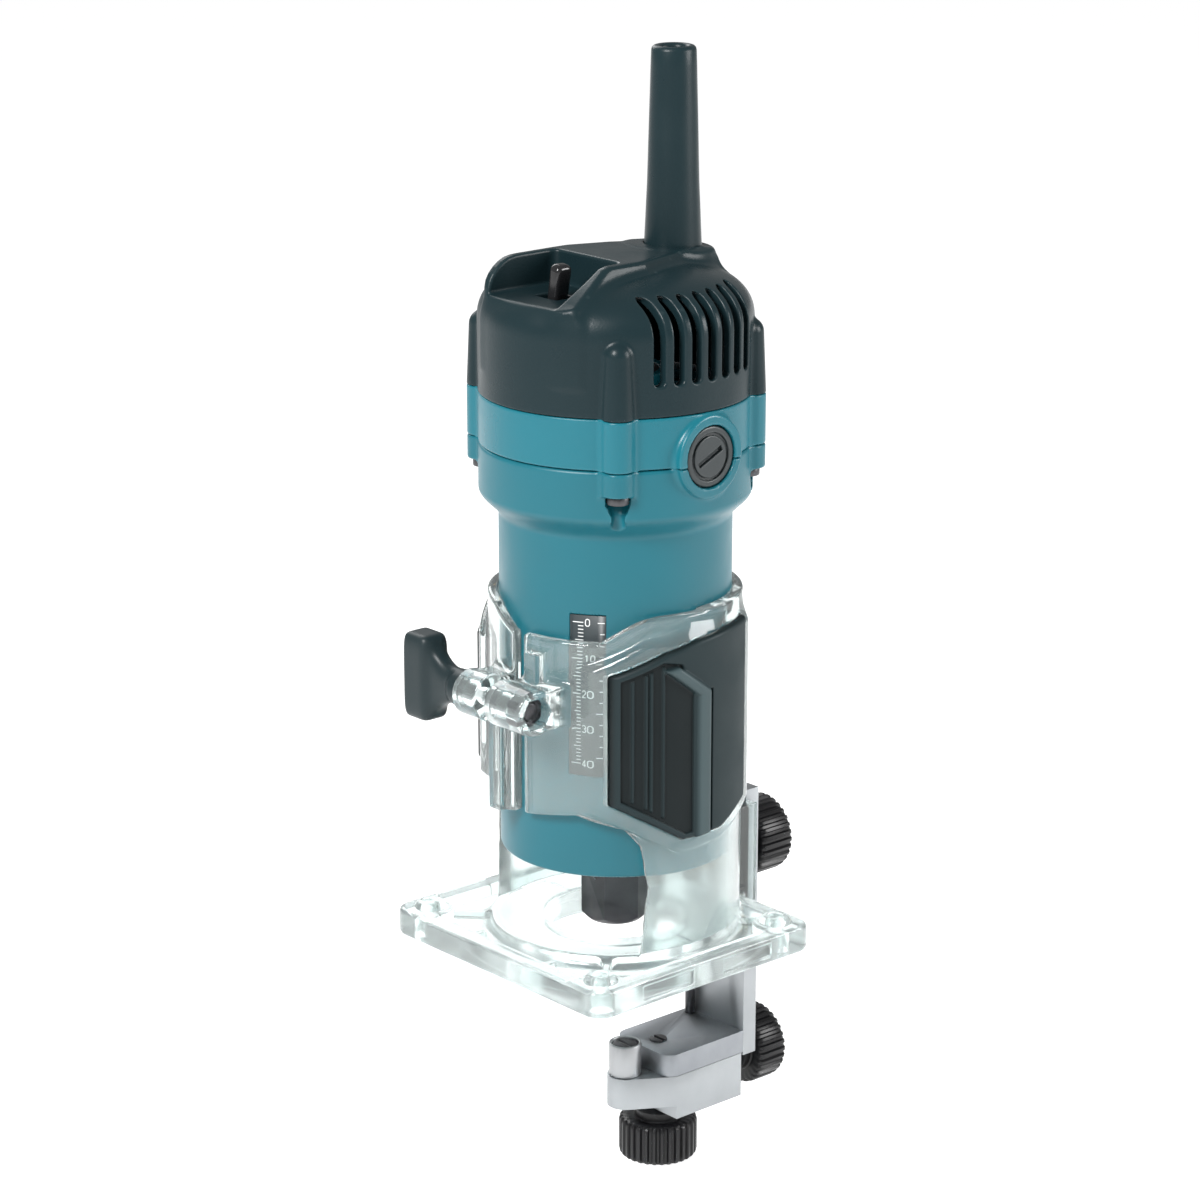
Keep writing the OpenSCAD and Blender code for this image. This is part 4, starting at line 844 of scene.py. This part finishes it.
def lever_rings():
    """Rounded-square sections up the lever: superellipses of power 4, each scaled by the size at its height,
    and closed in over its end."""
    half_x, half_y = 2, 2.6
    h = np.array([-2.2, -1.6, 0, 4, 8, 12, 15, 16, 16.6, 16.9])
    size = np.array([0.5, 0.85, 1, 0.98, 0.98, 1, 1.02, 0.95, 0.72, 0.4])
    a = np.linspace(0, 2 * np.pi, 48, endpoint=False)
    c, s = np.cos(a), np.sin(a)
    lap = (np.abs(c) ** 4 + np.abs(s) ** 4) ** (-1 / 4)
    u, v = size[:, None] * half_x * (lap * c), size[:, None] * half_y * (lap * s)
    return np.stack([u, v, np.broadcast_to(h[:, None], u.shape)], 2)


switch_gloss = finish_of("switch_gloss", (0.012, 0.012, 0.013), 0.2, bump=0.1)
lean = Matrix.Rotation(math.radians(10), 4, "Y")
skin("switch_lever_skin", lever_rings(), switch_gloss, "cover_plastic", "switch_lever",
     at(0, SWITCH_Y, 182.6) @ lean, 60)

# ---- Cord guard --------------------------------------------------------------------------------------------
# A tapered sleeve of charcoal rubber plugs into the cover, with an open bore for the cord.
# It is turned from one outline with a rounded mouth.


def guard_rings():
    """The sleeve's outline turned round Z: flange, plug, straight taper, rounded mouth, bore."""
    path = [(3.6, 187.8), (10.2, 187.8), (10.4, 188), (10.4, 191), (10.2, 191.2), (8.0, 191.3), (8.0, 198.6),
            (7.2, 216), (6.35, 248), (6.2, 252.3), (6.0, 253), (5.5, 253.45), (5.0, 253.6), (4.3, 253.5),
            (3.8, 253.1), (3.6, 252.5), (3.6, 187.8)]
    a = np.linspace(0, 2 * np.pi, 128, endpoint=False)
    r, z = np.array(path).T[:, :, None]
    across = r * np.cos(a)
    return np.stack([across, r * np.sin(a), np.broadcast_to(z, across.shape)], 2)


def turned(name, rings, material, slot, node, place, sharp=35):
    """A ring-shaped surface: the outline's last point is its first, so its ends are joined."""
    n, m = rings.shape[0] - 1, rings.shape[1]
    i, j = np.meshgrid(np.arange(n), np.arange(m), indexing="ij")
    i1, j1 = (i + 1) % n, (j + 1) % m
    quads = np.stack([i * m + j, i * m + j1, i1 * m + j1, i1 * m + j], 2).reshape(-1, 4)
    mesh = bpy.data.meshes.new(name)
    mesh.from_pydata((rings[:-1].reshape(-1, 3) * MM).tolist(), [], quads.tolist())
    mesh.transform(place)
    b = bmesh.new()
    b.from_mesh(mesh)
    bmesh.ops.recalc_face_normals(b, faces=b.faces)
    b.to_mesh(mesh)
    b.free()
    mesh.shade_smooth()
    mesh.set_sharp_from_angle(angle=math.radians(sharp))
    return placed(name, mesh, material, slot, node)


guard_rubber = finish_of("guard_rubber", (0.008, 0.02, 0.024), 0.32, grain=2000, bump=0.5,
                         worn=(0.04, 0.06, 0.065), gloss=0.2)
turned("cord_guard_skin", guard_rings(), guard_rubber, "cover_plastic", "cord_guard", at(0, GUARD_Y, 0))

# ---- Motor inside, collet and nut --------------------------------------------------------------------------
# Laminated field and armature with copper coils, a commutator with brushes in brass holders, a fan and
# two bearings turn on a steel shaft, with a slotted cone under a blackened hexagon nut at its end.
softened("collet_nut", 0.5, dark_steel, "dark_steel")
copper = finish_of("copper", (0.6, 0.28, 0.12), 0.3, metal=0.9)
lamination = finish_of("lamination", (0.3, 0.3, 0.31), 0.45, metal=1.0)
inside_black = finish_of("inside_black", (0.012, 0.012, 0.013), 0.45)
for material, slot, names in (
    (zinc, "bearing_steel", ("brush_springs", "bearing_retainer", "lower_bearing_outer",
                             "lower_bearing_balls", "upper_bearing_outer", "switch_pin", "motor_shaft",
                             "lower_bearing_inner", "upper_bearing_inner")),
    (brass, "brass", ("brush_holders",)),
    (dark_steel, "dark_steel", ("collet_cone",)),
    (inside_black, "carbon", ("carbon_brushes",)),
    (inside_black, "fan_plastic", ("baffle_plate", "cooling_fan", "switch_body")),
    (inside_black, "boot_rubber", ("bearing_boot",)),
    (lamination, "lamination", ("field_core", "armature_core")),
    (copper, "copper", ("field_coils", "armature_windings", "commutator")),
):
    for name in names:
        node = frame["nodes"][name]
        node.data.materials.clear()
        node.data.materials.append(material)
